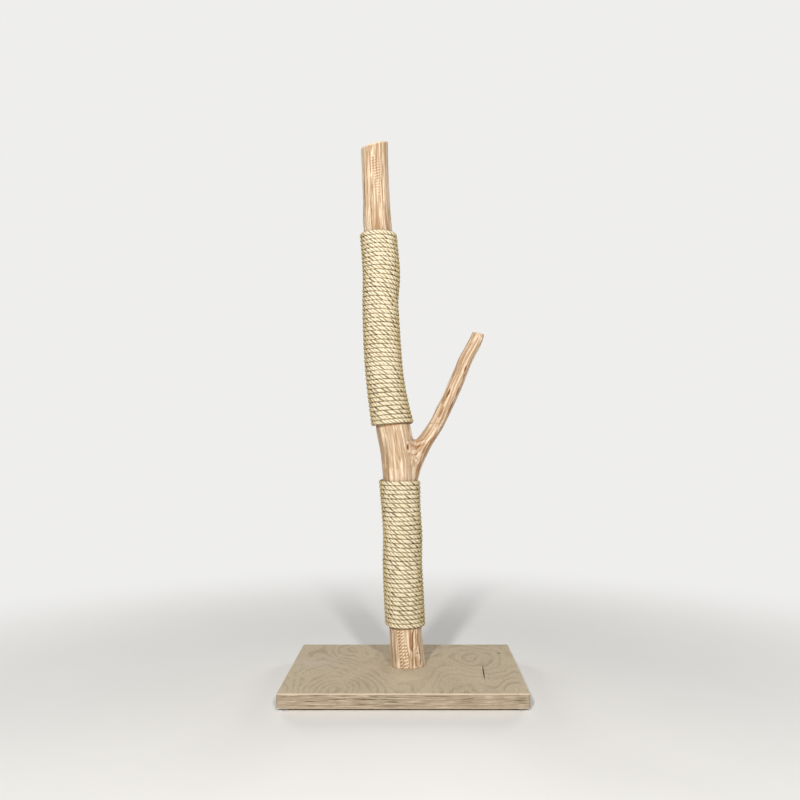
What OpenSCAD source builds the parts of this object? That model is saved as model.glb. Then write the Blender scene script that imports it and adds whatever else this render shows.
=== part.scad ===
// Cat scratching post: a peeled natural trunk with one side branch, screwed to a plywood board
// and wound with sisal rope below and above the fork. The floor is Z = 0, the front is -Y.

/* [Base board] */
// Width of the board, left to right
base_w = 500; // [400:5:650]
// Depth of the board, front to back
base_d = 400; // [320:5:550]
// Thickness of the board
base_t = 30; // [26:1:42]
// Radius of the board's upright corners
base_corner_r = 4; // [2:0.5:12]
// Easing along the board's long edges
base_edge = 1.2; // [0.6:0.1:1.8]

/* [Trunk] */
// Height of the trunk above the board, at the middle of its top cut
trunk_h = 1154; // [1000:5:1400]
// Diameter of the trunk at its foot
trunk_foot_d = 73; // [70:1:90]
// Diameter of the trunk at its top
trunk_top_d = 60; // [50:1:68]
// Place of the trunk's foot, to the right of the board's middle
trunk_foot_x = 7; // [-40:1:40]
// Place of the trunk's foot, behind the board's middle
trunk_foot_y = 14; // [-40:1:40]
// How far the trunk leans to the left from foot to top
trunk_lean = 74; // [0:1:110]
// How far the trunk bows to the front and back
trunk_sway = 8; // [0:1:20]
// Depth of the three shallow lobes round the trunk
trunk_lobe = 0.5; // [0:0.1:1.5]
// Rise of the top cut towards the right, in degrees
top_cut_rise = 15; // [0:1:25]
// Rise of the top cut towards the back, in degrees
top_cut_back = 6; // [0:1:15]

/* [Branch] */
// Height above the board at which the branch starts in the trunk's heart
fork_h = 406; // [380:2:440]
// Height from there to the branch's tip
branch_rise = 332; // [260:2:400]
// Sideways reach of the branch, from its start to its tip
branch_reach = 167; // [140:1:200]
// Place of the branch's start, to the right of the trunk's middle
branch_start = 9; // [4:1:14]
// How far the branch's tip lies to the back
branch_back = 12; // [-20:1:30]
// Diameter of the branch at mid length
branch_d = 32; // [26:1:36]
// Fall of the tip's cut towards the right, in degrees
tip_cut_fall = 12; // [0:1:20]

/* [Rope] */
// Diameter of the rope, which is its thickness on the trunk
rope_d = 9.2; // [8:0.2:11]
// Gap between the rope and the wood
rope_gap = 0.3; // [0.3:0.05:0.6]
// Gap between one turn and the next
turn_gap = 0.6; // [0.5:0.05:1]
// Bare wood from the board to the lower winding
lower_bare = 86; // [60:2:140]
// Height of the lower winding's top above the branch's start
lower_fork_rise = 8; // [-30:1:8]
// Height of the upper winding's first turn above the branch's start
upper_fork_gap = 123; // [122:1:170]
// Bare wood from the upper winding to the trunk's top
upper_bare = 194; // [140:2:260]
// Turns drawn in the upper winding
upper_turns = 24; // [12:1:24]
// Turns drawn in the lower winding
lower_turns = 18; // [10:1:24]

/* [Screws] */
// Diameter of the coach screw
coach_d = 10; // [8:1:12]
// Length of the coach screw under its head
coach_l = 120; // [100:5:140]
// Width of the coach screw's head across its flats
coach_head_w = 17; // [13:1:19]
// Height of the coach screw's head
coach_head_t = 7; // [5:0.5:8]
// Diameter of the washer
washer_d = 30; // [24:1:32]
// Thickness of the washer
washer_t = 2.5; // [2:0.25:3]
// Depth of the screw head below the board's underside
coach_sink = 1.5; // [0.5:0.25:3]
// Diameter of a trunk screw
screw_d = 6; // [4:0.5:6]
// Length of a trunk screw
screw_l = 80; // [70:5:100]
// Diameter of a trunk screw's head
screw_head_d = 12; // [9:0.5:12]
// Width of the socket in a trunk screw's head
screw_socket_w = 4; // [3:0.5:4.5]
// Depth of that socket
screw_socket_t = 2.4; // [1.5:0.1:3]
// Depth of a trunk screw's head below the board's underside
screw_sink = 0.4; // [0.2:0.1:1]
// Distance of the trunk screws from the coach screw
screw_ring_r = 25; // [24:0.5:27]
// Number of trunk screws
screw_count = 3; // [2:1:4]
// Gap round each shank in its bore
screw_fit = 0.1; // [0.05:0.05:0.3]

/* [Glides] */
// Diameter of a glide
glide_d = 18; // [14:1:26]
// Thickness of a glide, which is the gap under the board
glide_t = 6; // [4:0.5:9]
// Rounding of a glide's lower edge
glide_edge = 1; // [0.4:0.1:1.4]
// Distance from a glide's middle to the board's sides
glide_inset = 16; // [14:1:60]
// Diameter of a glide's pin
pin_d = 1.8; // [1.4:0.1:2.4]
// Length of a glide's pin with its head
pin_l = 16; // [12:1:20]
// Diameter of a pin's head
pin_head_d = 5; // [4:0.5:6]
// Thickness of a pin's head
pin_head_t = 1; // [0.6:0.1:1.2]
// Depth of a pin's head above the floor
pin_sink = 0.6; // [0.4:0.1:1]

/* [Staples] */
// Thickness of a staple's wire
staple_wire = 1.2; // [0.8:0.1:1.4]
// Depth of a staple's legs in the wood
staple_depth = 10; // [6:1:14]
// Gap between a staple and the rope
staple_gap = 0.3; // [0.2:0.05:0.5]
// Gap round a staple's legs in the wood
staple_fit = 0.1; // [0.05:0.05:0.2]

/* [Hidden] */

// Shares of the lean, the sway and the taper at even steps up the trunk, in percent
lean_shape = [0, 6, 10, 14, 17, 16, 21, 25, 30, 42, 57, 69, 76, 80, 83, 80, 85, 92, 95, 98, 100];
sway_shape = [0, 10, 25, 40, 45, 40, 20, 0, -20, -30, -20, 0, 30, 60, 80, 90, 100, 90, 70, 40, 20];
taper_shape = [0, 25, 22, 22, 31, 33, 34, 6, -12, -33, 17, 53, 62, 73, 90, 66, 73, 81, 102, 109, 100];
// Shares of the reach and the thickness at even steps up the branch, in percent
reach_shape = [0, 8, 16, 26, 37, 47, 55, 63, 70, 77, 84, 93, 100];
girth_shape = [145, 131, 131, 129, 115, 102, 102, 99, 100, 94, 98, 96, 75];

board_top = glide_t + base_t;
trunk_sides = 24;
trunk_rings = 60;
branch_sides = 20;
branch_rings = 28;
lobe_turn = 90;
branch_stretch = norm([branch_reach, branch_rise]) / branch_rise;
turn_rings = 17;
rope_sides = 6;
// A chord between two rings runs nearer the wood than the rings, by this factor
chord = cos(180 / turn_rings);
flat_to_corner = 1 / cos(180 / rope_sides);
upper_start = fork_h + upper_fork_gap;
upper_pitch = (trunk_h - upper_bare - upper_start) / (upper_turns + 1);
lower_pitch = (fork_h + lower_fork_rise - lower_bare) / (lower_turns + 1);
// The rope thins to its own diameter over this share of a turn at each end
end_turn = 0.4;
rope_end_angle = 90;
coach_bore_d = coach_d + 2 * screw_fit;
// Gaps round the washer, inside it and round a pin's head
washer_play = 1;
washer_bore_play = 0.25;
pin_play = 0.5;
counterbore_d = washer_d + 2 * washer_play;
counterbore_t = coach_sink + coach_head_t + washer_t;
coach_tip = coach_d;
screw_tip = screw_d;
tip_d = 1;
chamfer_angle = 30;
pilot_rest = 2;
screw_head_h = (screw_head_d - screw_d) / 2;
pin_recess_d = pin_head_d + 2 * pin_play;
cut = 1;
step = 0.1;

// A smooth curve through evenly spaced values, at t from 0 to 1
function blend(values, t) =
    let (
        last = len(values) - 1,
        place = min(max(t, 0), 1) * last,
        i = min(floor(place), last - 1),
        f = place - i,
        a = values[max(i - 1, 0)],
        b = values[i],
        c = values[i + 1],
        d = values[min(i + 2, last)]
    )
    b + f * (c - a) / 2 + f * f * (2 * a - 5 * b + 4 * c - d) / 2
    + f * f * f * (3 * b - 3 * c + d - a) / 2;

// The trunk's middle and radius at a height above the board
function trunk_x(h) = trunk_foot_x - trunk_lean * blend(lean_shape, h / trunk_h) / 100;
function trunk_y(h) = trunk_foot_y + trunk_sway * blend(sway_shape, h / trunk_h) / 100;
function trunk_r(h) =
    trunk_foot_d / 2 + (trunk_top_d - trunk_foot_d) / 2 * blend(taper_shape, h / trunk_h) / 100;

// A point on the trunk's skin, or out from it
function trunk_skin(h, angle, out) =
    let (r = trunk_r(h) + trunk_lobe * cos(3 * angle + lobe_turn * h / trunk_h) + out)
    [trunk_x(h) + r * cos(angle), trunk_y(h) + r * sin(angle), board_top + h];

// How far a ring square to the trunk's own line lies above its level, at an angle
function ring_lift(h, angle) =
    let (
        slope_x = (trunk_x(h + step) - trunk_x(h - step)) / (2 * step),
        slope_y = (trunk_y(h + step) - trunk_y(h - step)) / (2 * step)
    )
    -trunk_r(h) * (slope_x * cos(angle) + slope_y * sin(angle));

function trunk_ring(h, rise) =
    [for (i = [0 : trunk_sides - 1])
        let (
            angle = 360 * i / trunk_sides,
            lift = rise * trunk_r(h) * (tan(top_cut_rise) * cos(angle) + tan(top_cut_back) * sin(angle))
        )
        trunk_skin(h + lift, angle, 0)];

function branch_ring(share, fall) =
    let (
        r = branch_d / 2 * blend(girth_shape, share) / 100,
        x = trunk_x(fork_h) + branch_start + branch_reach * blend(reach_shape, share) / 100,
        y = trunk_y(fork_h) + branch_back * share,
        z = board_top + fork_h + branch_rise * share
    )
    [for (i = [0 : branch_sides - 1])
        let (
            angle = 360 * i / branch_sides,
            side = r * branch_stretch * cos(angle)
        )
        [x + side, y + r * sin(angle), z - fall * side * tan(tip_cut_fall)]];

// Height of a winding's middle at a count of turns, where its angle is given
function turn_height(start, pitch, turn, angle) =
    let (h = start + pitch * (turn + 0.5))
    h + ring_lift(h, angle);

// How much of its full height the tube has, at a count of turns from an end
function full_share(turns) =
    let (s = min(turns / end_turn, 1))
    s * s * (3 - 2 * s);

// One ring of a winding's tube, with its flat side to the wood. Its edges lie half a gap from
// the middle between it and the turns above and below. Towards an end the tube thins to the
// rope's own diameter, along the edge of the winding.
function rope_ring(start, pitch, turns, turn) =
    let (
        angle = rope_end_angle - 360 * turn,
        here = turn_height(start, pitch, turn, angle),
        low = (turn_height(start, pitch, turn - 1, angle) + here + turn_gap) / 2,
        high = (here + turn_height(start, pitch, turn + 1, angle) - turn_gap) / 2,
        spare = high - low - rope_d,
        bottom = low + spare * (1 - full_share(turns - turn)),
        top = high - spare * (1 - full_share(turn)),
        middle = (bottom + top) / 2,
        r = trunk_r(middle),
        inside = (r + rope_gap) / chord - r
    )
    [for (k = [0 : rope_sides - 1])
        let (a = 360 * (k + 0.5) / rope_sides)
        trunk_skin(
            middle + (top - bottom) / 2 * sin(a), angle,
            inside + rope_d / 2 * (1 + flat_to_corner * cos(a))
        )];

function moved(ring, by) = [for (p = ring) p + by];
function middle_of(ring) = [for (k = [0 : 2]) [for (p = ring) p[k]] * [for (p = ring) 1] / len(ring)];
function unit(v) = v / norm(v);

// A winding's rings, from bottom to top. It is left-handed, and each end runs straight for
// one diameter of the rope.
function rope_rings(start, pitch, turns) =
    let (
        last = turns * turn_rings,
        rings = [for (i = [0 : last]) rope_ring(start, pitch, turns, i / turn_rings)],
        first_run = unit(middle_of(rings[0]) - middle_of(rings[1])),
        last_run = unit(middle_of(rings[last]) - middle_of(rings[last - 1]))
    )
    concat([moved(rings[0], first_run * rope_d)], rings, [moved(rings[last], last_run * rope_d)]);

// The least distance between the points of one turn and those of the next
function least_gap(rings) =
    min([for (i = [0 : len(rings) - 1])
        for (j = [i + turn_rings - 2 : 1 : min(i + turn_rings + 2, len(rings) - 1)])
            for (p = rings[i])
                for (q = rings[j])
                    norm(p - q)]);

upper_rings = rope_rings(upper_start, upper_pitch, upper_turns);
lower_rings = rope_rings(lower_bare, lower_pitch, lower_turns);
echo(str("least gap of rope_upper to itself: ", least_gap(upper_rings), " mm"));
echo(str("least gap of rope_lower to itself: ", least_gap(lower_rings), " mm"));

// The closed skin over a stack of rings of points
module skin(rings) {
    n = len(rings[0]);
    last = len(rings) - 1;
    points = [for (ring = rings) for (p = ring) p];
    sides = [for (i = [0 : last - 1])
        for (k = [0 : n - 1])
            let (
                a = i * n + k,
                b = i * n + (k + 1) % n
            )
            each [[a, a + n, b], [b, a + n, b + n]]];
    first_cap = [for (k = [1 : n - 2]) [0, k, k + 1]];
    last_cap = [for (k = [1 : n - 2]) [last * n, last * n + k + 1, last * n + k]];
    polyhedron(points, concat(sides, first_cap, last_cap));
}

// A board with round upright corners and eased edges, standing on Z = 0
module eased_board(w, d, t, r, edge) {
    translate([-(w / 2 - r), 0, 0])
        rotate([90, 0, 90])
            linear_extrude(w - 2 * r)
                eased_section(d, t, edge);
    translate([0, d / 2 - r, 0])
        rotate([90, 0, 0])
            linear_extrude(d - 2 * r)
                eased_section(w, t, edge);
    for (x = [-1, 1])
        for (y = [-1, 1])
            translate([x * (w / 2 - r), y * (d / 2 - r), 0])
                rotate_extrude($fn = 48)
                    polygon([[0, 0], [r - edge, 0], [r, edge], [r, t - edge], [r - edge, t], [0, t]]);
}

module eased_section(w, t, edge) {
    half = w / 2;
    polygon([
        [-half + edge, 0], [half - edge, 0], [half, edge], [half, t - edge],
        [half - edge, t], [-half + edge, t], [-half, t - edge], [-half, edge],
    ]);
}

// Puts its children at each trunk screw
module at_trunk_screws() {
    for (i = [0 : screw_count - 1])
        translate([trunk_foot_x, trunk_foot_y, glide_t + screw_sink])
            rotate([0, 0, 90 + 360 * i / screw_count])
                translate([screw_ring_r, 0, 0])
                    children();
}

// Puts its children at each glide
module at_glides() {
    for (x = [-1, 1])
        for (y = [-1, 1])
            at_glide(x, y)
                children();
}

module at_glide(x, y) {
    translate([x * (base_w / 2 - glide_inset), y * (base_d / 2 - glide_inset), 0])
        children();
}

// Puts its children on the rope's straight end: X along it, Y up the trunk, Z away from the wood
module at_rope_end(end, next) {
    place = (middle_of(end) + middle_of(next)) / 2;
    along = unit(middle_of(end) - middle_of(next));
    wood = [trunk_x(place[2] - board_top), trunk_y(place[2] - board_top), place[2]];
    away = unit(cross(along, cross(place - wood, along)));
    up = cross(away, along);
    multmatrix([
        [along[0], up[0], away[0], place[0]],
        [along[1], up[1], away[1], place[1]],
        [along[2], up[2], away[2], place[2]],
    ])
        children();
}

module at_rope_ends() {
    for (rings = [upper_rings, lower_rings]) {
        last = len(rings) - 1;
        at_rope_end(rings[0], rings[1])
            children();
        at_rope_end(rings[last], rings[last - 1])
            children();
    }
}

staple_half = rope_d / 2 * flat_to_corner + staple_gap;
staple_drop = rope_d + staple_depth;
staple_top = rope_d / 2 + staple_gap;

// A staple over the rope, with chisel points
module staple() {
    outer = staple_half + staple_wire;
    translate([-staple_wire / 2, 0, 0])
        rotate([90, 0, 90])
            linear_extrude(staple_wire)
                polygon([
                    [-outer, -staple_drop], [-staple_half, staple_wire - staple_drop],
                    [-staple_half, staple_top], [staple_half, staple_top],
                    [staple_half, staple_wire - staple_drop], [outer, -staple_drop],
                    [outer, staple_top + staple_wire], [-outer, staple_top + staple_wire],
                ]);
}

// The slots for a staple's two legs
module staple_slots() {
    wide = staple_wire + 2 * staple_fit;
    for (side = [-1, 1])
        translate([
            -wide / 2, side * (staple_half + staple_wire / 2) - wide / 2, -staple_drop - staple_fit,
        ])
            cube([wide, wide, staple_drop + staple_top]);
}

module base_board() {
    color("burlywood")
        difference() {
            translate([0, 0, glide_t])
                eased_board(base_w, base_d, base_t, base_corner_r, base_edge);
            translate([trunk_foot_x, trunk_foot_y, glide_t - cut]) {
                cylinder(d = coach_bore_d, h = base_t + 2 * cut, $fn = 48);
                cylinder(d = counterbore_d, h = counterbore_t + cut, $fn = 64);
            }
            at_trunk_screws() {
                cylinder(d = screw_d + 2 * screw_fit, h = base_t, $fn = 48);
                cylinder(
                    d1 = screw_head_d + 2 * screw_fit, d2 = screw_d + 2 * screw_fit,
                    h = screw_head_h, $fn = 48
                );
                translate([0, 0, -screw_sink - cut])
                    cylinder(d = screw_head_d + 2 * screw_fit, h = screw_sink + cut, $fn = 48);
            }
            at_glides()
                cylinder(d = pin_d + 2 * screw_fit, h = pin_sink + pin_l + pilot_rest, $fn = 24);
        }
}

module trunk() {
    color("peru")
        difference() {
            union() {
                skin([for (i = [0 : trunk_rings])
                    trunk_ring(trunk_h * i / trunk_rings, i == trunk_rings ? 1 : 0)]);
                skin([for (i = [0 : branch_rings])
                    branch_ring(i / branch_rings, i == branch_rings ? 1 : 0)]);
            }
            translate([trunk_foot_x, trunk_foot_y, glide_t])
                cylinder(
                    d = coach_bore_d, h = counterbore_t - washer_t + coach_l + pilot_rest, $fn = 48
                );
            at_trunk_screws()
                cylinder(d = screw_d + 2 * screw_fit, h = screw_l + pilot_rest, $fn = 48);
            at_rope_ends()
                staple_slots();
        }
}

module rope_upper() {
    color("wheat")
        skin(upper_rings);
}

module rope_lower() {
    color("wheat")
        skin(lower_rings);
}

module coach_screw() {
    color("silver")
        translate([trunk_foot_x, trunk_foot_y, glide_t + coach_sink]) {
            intersection() {
                cylinder(d = coach_head_w / cos(30), h = coach_head_t, $fn = 6);
                cylinder(
                    d1 = coach_head_w, d2 = coach_head_w + 2 * coach_head_t / tan(chamfer_angle),
                    h = coach_head_t, $fn = 64
                );
            }
            cylinder(d = coach_d, h = coach_head_t + coach_l - coach_tip, $fn = 48);
            translate([0, 0, coach_head_t + coach_l - coach_tip])
                cylinder(d1 = coach_d, d2 = tip_d, h = coach_tip, $fn = 48);
        }
}

module coach_washer() {
    color("silver")
        translate([trunk_foot_x, trunk_foot_y, glide_t + coach_sink + coach_head_t])
            difference() {
                cylinder(d = washer_d, h = washer_t, $fn = 64);
                translate([0, 0, -cut])
                    cylinder(d = coach_d + 2 * washer_bore_play, h = washer_t + 2 * cut, $fn = 48);
            }
}

module trunk_screws() {
    color("silver")
        at_trunk_screws()
            difference() {
                union() {
                    cylinder(d1 = screw_head_d, d2 = screw_d, h = screw_head_h, $fn = 48);
                    cylinder(d = screw_d, h = screw_l - screw_tip, $fn = 48);
                    translate([0, 0, screw_l - screw_tip])
                        cylinder(d1 = screw_d, d2 = tip_d, h = screw_tip, $fn = 48);
                }
                translate([0, 0, -cut])
                    cylinder(d = screw_socket_w / cos(30), h = screw_socket_t + cut, $fn = 6);
            }
}

// A round glide with a recess for its pin's head
module glide(x, y) {
    r = glide_d / 2;
    bore_r = pin_d / 2 + screw_fit;
    recess_t = pin_sink + pin_head_t;
    color("dimgray")
        at_glide(x, y)
            rotate_extrude($fn = 64)
                polygon([
                    [pin_recess_d / 2, 0], [r - glide_edge, 0], [r, glide_edge], [r, glide_t],
                    [bore_r, glide_t], [bore_r, recess_t], [pin_recess_d / 2, recess_t],
                ]);
}

module glide_front_left() {
    glide(-1, -1);
}

module glide_front_right() {
    glide(1, -1);
}

module glide_back_left() {
    glide(-1, 1);
}

module glide_back_right() {
    glide(1, 1);
}

module glide_pins() {
    color("silver")
        at_glides()
            translate([0, 0, pin_sink]) {
                cylinder(d = pin_head_d, h = pin_head_t, $fn = 32);
                cylinder(d = pin_d, h = pin_l, $fn = 24);
            }
}

module rope_staples() {
    color("silver")
        at_rope_ends()
            staple();
}

base_board();
trunk();
rope_upper();
rope_lower();
coach_screw();
coach_washer();
trunk_screws();
glide_front_left();
glide_front_right();
glide_back_left();
glide_back_right();
glide_pins();
rope_staples();
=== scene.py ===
"""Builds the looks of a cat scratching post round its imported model.

The post is a peeled trunk with one side branch on a plywood board, wound with sisal rope.
"""

import bpy
import numpy as np
from bpy.props import (
    FloatProperty, FloatVectorProperty, IntProperty, PointerProperty,
)
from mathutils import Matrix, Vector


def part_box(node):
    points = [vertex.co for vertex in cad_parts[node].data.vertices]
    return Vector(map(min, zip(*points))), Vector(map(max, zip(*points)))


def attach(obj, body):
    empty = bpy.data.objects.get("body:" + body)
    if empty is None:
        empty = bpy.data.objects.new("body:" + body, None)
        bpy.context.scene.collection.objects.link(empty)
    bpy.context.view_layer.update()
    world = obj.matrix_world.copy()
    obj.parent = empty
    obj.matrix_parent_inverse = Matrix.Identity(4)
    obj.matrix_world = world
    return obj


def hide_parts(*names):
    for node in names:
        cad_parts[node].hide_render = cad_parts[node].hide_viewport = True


bl_info = {
    "name": "Cat scratching post",
    "version": (1, 0, 0),
    "blender": (4, 5, 0),
    "location": "3D View > Sidebar > Scratching Post",
    "description": "Makes the trunk, windings, board, fittings and stage of a scratching post",
    "category": "Add Mesh",
}

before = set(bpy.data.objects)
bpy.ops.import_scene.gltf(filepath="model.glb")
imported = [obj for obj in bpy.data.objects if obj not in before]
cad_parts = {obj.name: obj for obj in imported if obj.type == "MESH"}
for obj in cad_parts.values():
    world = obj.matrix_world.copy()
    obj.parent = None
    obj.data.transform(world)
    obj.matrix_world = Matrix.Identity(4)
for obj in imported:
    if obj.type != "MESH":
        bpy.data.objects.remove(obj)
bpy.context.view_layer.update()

# Shares of the lean, sway and taper at even steps up the trunk, and of the reach and girth
# at even steps up the branch, as the part's source has them
LEAN = np.array([0, 6, 10, 14, 17, 16, 21, 25, 30, 42, 57, 69, 76, 80, 83, 80, 85, 92, 95, 98,
                 100]) / 100
SWAY = np.array([0, 10, 25, 40, 45, 40, 20, 0, -20, -30, -20, 0, 30, 60, 80, 90, 100, 90, 70, 40,
                 20]) / 100
TAPER = np.array([0, 25, 22, 22, 31, 33, 34, 6, -12, -33, 17, 53, 62, 73, 90, 66, 73, 81, 102,
                  109, 100]) / 100
REACH = np.array([0, 8, 16, 26, 37, 47, 55, 63, 70, 77, 84, 93, 100]) / 100
GIRTH = np.array([145, 131, 131, 129, 115, 102, 102, 99, 100, 94, 98, 96, 75]) / 100

TURN = 2 * np.pi
MM = 0.001


# ---------------------------------------------------------------- settings


def metres(name, words, default):
    """A length that the panel shows."""
    return FloatProperty(name=name, description=words, default=default, unit="LENGTH")


def degrees(name, words, default):
    """An angle, given in degrees."""
    return FloatProperty(
        name=name, description=words, default=np.radians(default), subtype="ANGLE")


def amount(name, words, default, subtype="NONE"):
    """A number without a unit, or with the one that its words name."""
    return FloatProperty(name=name, description=words, default=default, subtype=subtype)


def tally(name, words, default):
    """A whole number."""
    return IntProperty(name=name, description=words, default=default)


def tint(name, words, default):
    """A colour."""
    return FloatVectorProperty(name=name, description=words, default=default, subtype="COLOR")


class TrunkSettings(bpy.types.PropertyGroup):
    height: metres("Height", "From the board to the middle of the top cut", 1.154)
    foot_width: metres("Foot", "Diameter at the foot", 0.073)
    top_width: metres("Top", "Diameter at the top", 0.060)
    foot_x: metres("Foot X", "Place of the foot, to the right", 0.007)
    foot_y: metres("Foot Y", "Place of the foot, to the back", 0.014)
    lean: metres("Lean", "Lean to the left", 0.074)
    sway: metres("Sway", "Bow to the front and back", 0.008)
    lobe: metres("Lobes", "Depth of the three lobes", 0.0005)
    cut_rise: degrees("Top cut", "Rise of the top cut to the right", 15)
    cut_back: degrees("Top cut, back", "Rise of the top cut to the back", 6)
    fork_height: metres("Fork", "Height of the branch's start in the heart", 0.406)
    branch_rise: metres("Branch rise", "Height from the fork to the tip", 0.332)
    branch_reach: metres("Branch reach", "Sideways reach of the branch", 0.167)
    branch_start: metres("Branch start", "Start of the branch beside the heart", 0.009)
    branch_back: metres("Branch back", "How far the tip lies to the back", 0.012)
    branch_width: metres("Branch width", "Diameter at mid length", 0.032)
    tip_fall: degrees("Tip cut", "Fall of the tip's cut to the right", 12)
    crotch: metres("Crotch", "How softly branch and trunk grow together", 0.017)
    collar: metres("Collar", "Swell of the branch just over the lower winding", 0.0048)
    tan: tint("Tan", "Colour of the darker grain", (0.350, 0.222, 0.110))
    cream: tint("Cream", "Colour of the pale grain", (0.545, 0.416, 0.270))
    rose: tint("Rose", "Colour of the pinkish parts", (0.510, 0.346, 0.252))
    # The palest colour also serves the painted light on the foot, on the crotch and on the tool
    # marks' crests
    pith: tint("Streaks", "Colour of the palest streaks", (0.89, 0.750, 0.565))
    # The bark colour also serves the painted shadow under the upper winding
    bark: tint("Bark", "Colour in cracks and knots", (0.10, 0.040, 0.016))


class RopeSettings(bpy.types.PropertyGroup):
    width: metres("Width", "Diameter of the rope", 0.0098)
    out: metres("Out", "From the wood to the rope's middle", 0.0052)
    lay: metres("Lay", "Length of one twist of a strand", 0.028)
    edge: metres("Edge", "From a winding's edge to the first turn's middle", 0.0049)
    tail: metres("Tail", "Straight run of each end", 0.0092)
    lower_start: metres("Lower start", "Lower edge of the lower winding", 0.086)
    lower_end: metres("Lower end", "Upper edge of the lower winding", 0.414)
    lower_turns: tally("Lower turns", "Turns of the lower winding", 33)
    upper_start: metres("Upper start", "Lower edge of the upper winding", 0.529)
    upper_end: metres("Upper end", "Upper edge of the upper winding", 0.960)
    upper_turns: tally("Upper turns", "Turns of the upper winding", 44)
    hairs: tally("Hairs", "Loose fibres on each winding", 700)
    press: amount(
        "Press", "How much taller than deep the rope is where turns press on each other",
        0.12, "FACTOR")
    straw: tint("Straw", "Colour of the fibres", (0.57, 0.44, 0.235))
    # The pale colour serves pale fibres and the painted highlights on the strands' crowns
    pale: tint("Pale", "Colour of bleached fibres", (0.86, 0.77, 0.575))
    # Colour of the painted shade in the gaps between strands and turns
    deep: tint("Deep", "Colour in the gaps", (0.16, 0.098, 0.030))


class BoardSettings(bpy.types.PropertyGroup):
    plies: tally("Plies", "Number of veneers in the board", 21)
    veneer: tint("Veneer", "Colour of the face", (0.545, 0.449, 0.318))
    figure: tint("Figure", "Colour of the face's grain", (0.345, 0.270, 0.167))
    edge: tint("Edge", "Colour of the cut veneers", (0.335, 0.264, 0.186))


class StageSettings(bpy.types.PropertyGroup):
    distance: metres("Distance", "From the camera to the board's middle", 1.836)
    side: metres("Side", "Camera's place to the right", 0.0252)
    height: metres("Height", "Camera's height", 0.529)
    lens: amount("Lens", "Focal length in millimetres", 37.44)
    shift_x: amount("Shift X", "Sideways shift of the view", -0.02)
    shift_y: amount("Shift Y", "Upward shift of the view", 0.05375)
    key: amount("Key", "Power of the front lamps in watts", 72.0)
    top: amount("Top", "Power of the overhead lamp in watts", 6.0)
    behind: amount("Behind", "Power of the lamps behind in watts", 44.0)
    ambient: amount("Ambient", "Strength of the room's light", 0.07)
    floor: tint("Floor", "Colour of the floor", (0.90, 0.89, 0.87))
    backdrop: tint("Backdrop", "Colour behind everything", (0.86, 0.855, 0.84))


class PostSettings(bpy.types.PropertyGroup):
    trunk: PointerProperty(type=TrunkSettings)
    rope: PointerProperty(type=RopeSettings)
    board: PointerProperty(type=BoardSettings)
    stage: PointerProperty(type=StageSettings)


# ---------------------------------------------------------------- numbers


def ease(x):
    """0 below 0, 1 above 1, and x * x * (3 - 2 x) between."""
    x = np.clip(x, 0.0, 1.0)
    return x * x * (3 - 2 * x)


def bell(x, width):
    """A bell curve: e to the power of minus the square of x over the width."""
    return np.exp(-(x / width) ** 2)


def curve(values, t):
    """A Catmull-Rom curve through evenly spaced values, read at t from 0 to 1."""
    last = len(values) - 1
    place = np.clip(t, 0.0, 1.0) * last
    i = np.minimum(np.floor(place), last - 1).astype(int)
    f = place - i
    a, b, c, d = (values[np.clip(i + k, 0, last)] for k in (-1, 0, 1, 2))
    return (b + f * (c - a) / 2 + f * f * (2 * a - 5 * b + 4 * c - d) / 2
            + f ** 3 * (3 * b - 3 * c + d - a) / 2)


def noise(p, seed):
    """Smooth noise from -1 to 1: fixed random values at whole numbers, eased along each
    axis. Each value comes from its place by multiplying and mixing the bits."""
    base = np.floor(p).astype(np.int64)
    f = ease(p - base)
    total = np.zeros(len(p))
    for corner in range(8):
        bits = np.array([corner & 1, corner >> 1 & 1, corner >> 2 & 1])
        key = ((base + bits) * [73856093, 19349663, 83492791]).sum(1) + seed * 2654435761
        key = key & 0xFFFFFFFF
        key = (key ^ key >> 15) * 2246822519 & 0xFFFFFFFF
        key = (key ^ key >> 13) * 3266489917 & 0xFFFFFFFF
        key = key ^ key >> 16
        total += np.where(bits, f, 1 - f).prod(1) * (key / 0x7FFFFFFF - 1)
    return total


def line_noise(x, seed):
    """Noise along a line."""
    return noise(np.stack([x, 0 * x, 0 * x], -1), seed)


def path_gap(p, path):
    """Distance of each point from a line through a few points, and its share along the line."""
    best = np.full(len(p), np.inf)
    share = np.zeros(len(p))
    for i in range(len(path) - 1):
        a, run = path[i], path[i + 1] - path[i]
        t = np.clip((p - a) @ run / (run @ run), 0, 1)
        gap = np.linalg.norm(p - a - t[:, None] * run, axis=1)
        nearer = gap < best
        best = np.where(nearer, gap, best)
        share = np.where(nearer, (i + t) / (len(path) - 1), share)
    return best, share


def halve(inside, low, high, rounds):
    """The furthest values between two limits for which a test holds, by halving."""
    for _ in range(rounds):
        mid = (low + high) / 2
        held = inside(mid)
        low, high = np.where(held, mid, low), np.where(held, high, mid)
    return low


def unit(v):
    """Vectors divided by their lengths."""
    return v / np.linalg.norm(v, axis=-1, keepdims=True)


def unit_across(v, along):
    """What vectors have square to others, divided by its length."""
    return unit(v - (v * along).sum(1)[:, None] * along)


def turned(angle, first, second):
    """The cosine of an angle times one vector plus its sine times another."""
    return np.cos(angle)[..., None] * first + np.sin(angle)[..., None] * second


# ---------------------------------------------------------------- meshes


def grid_faces(ids):
    """Four-sided faces over closed rows of point numbers. They face out where a row runs
    anticlockwise and the rows run up."""
    low, high = ids[..., :-1, :], ids[..., 1:, :]
    return np.stack([low, np.roll(low, -1, -1), np.roll(high, -1, -1), high], -1).reshape(-1, 4)


def fan_faces(ring, pole):
    """Three-sided faces from a closed ring of point numbers to one point."""
    return np.stack([ring, np.roll(ring, -1), np.full(len(ring), pole)], -1)


def add_object(name, data):
    """A new object in the scene."""
    thing = bpy.data.objects.new(name, data)
    bpy.context.scene.collection.objects.link(thing)
    return thing


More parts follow.
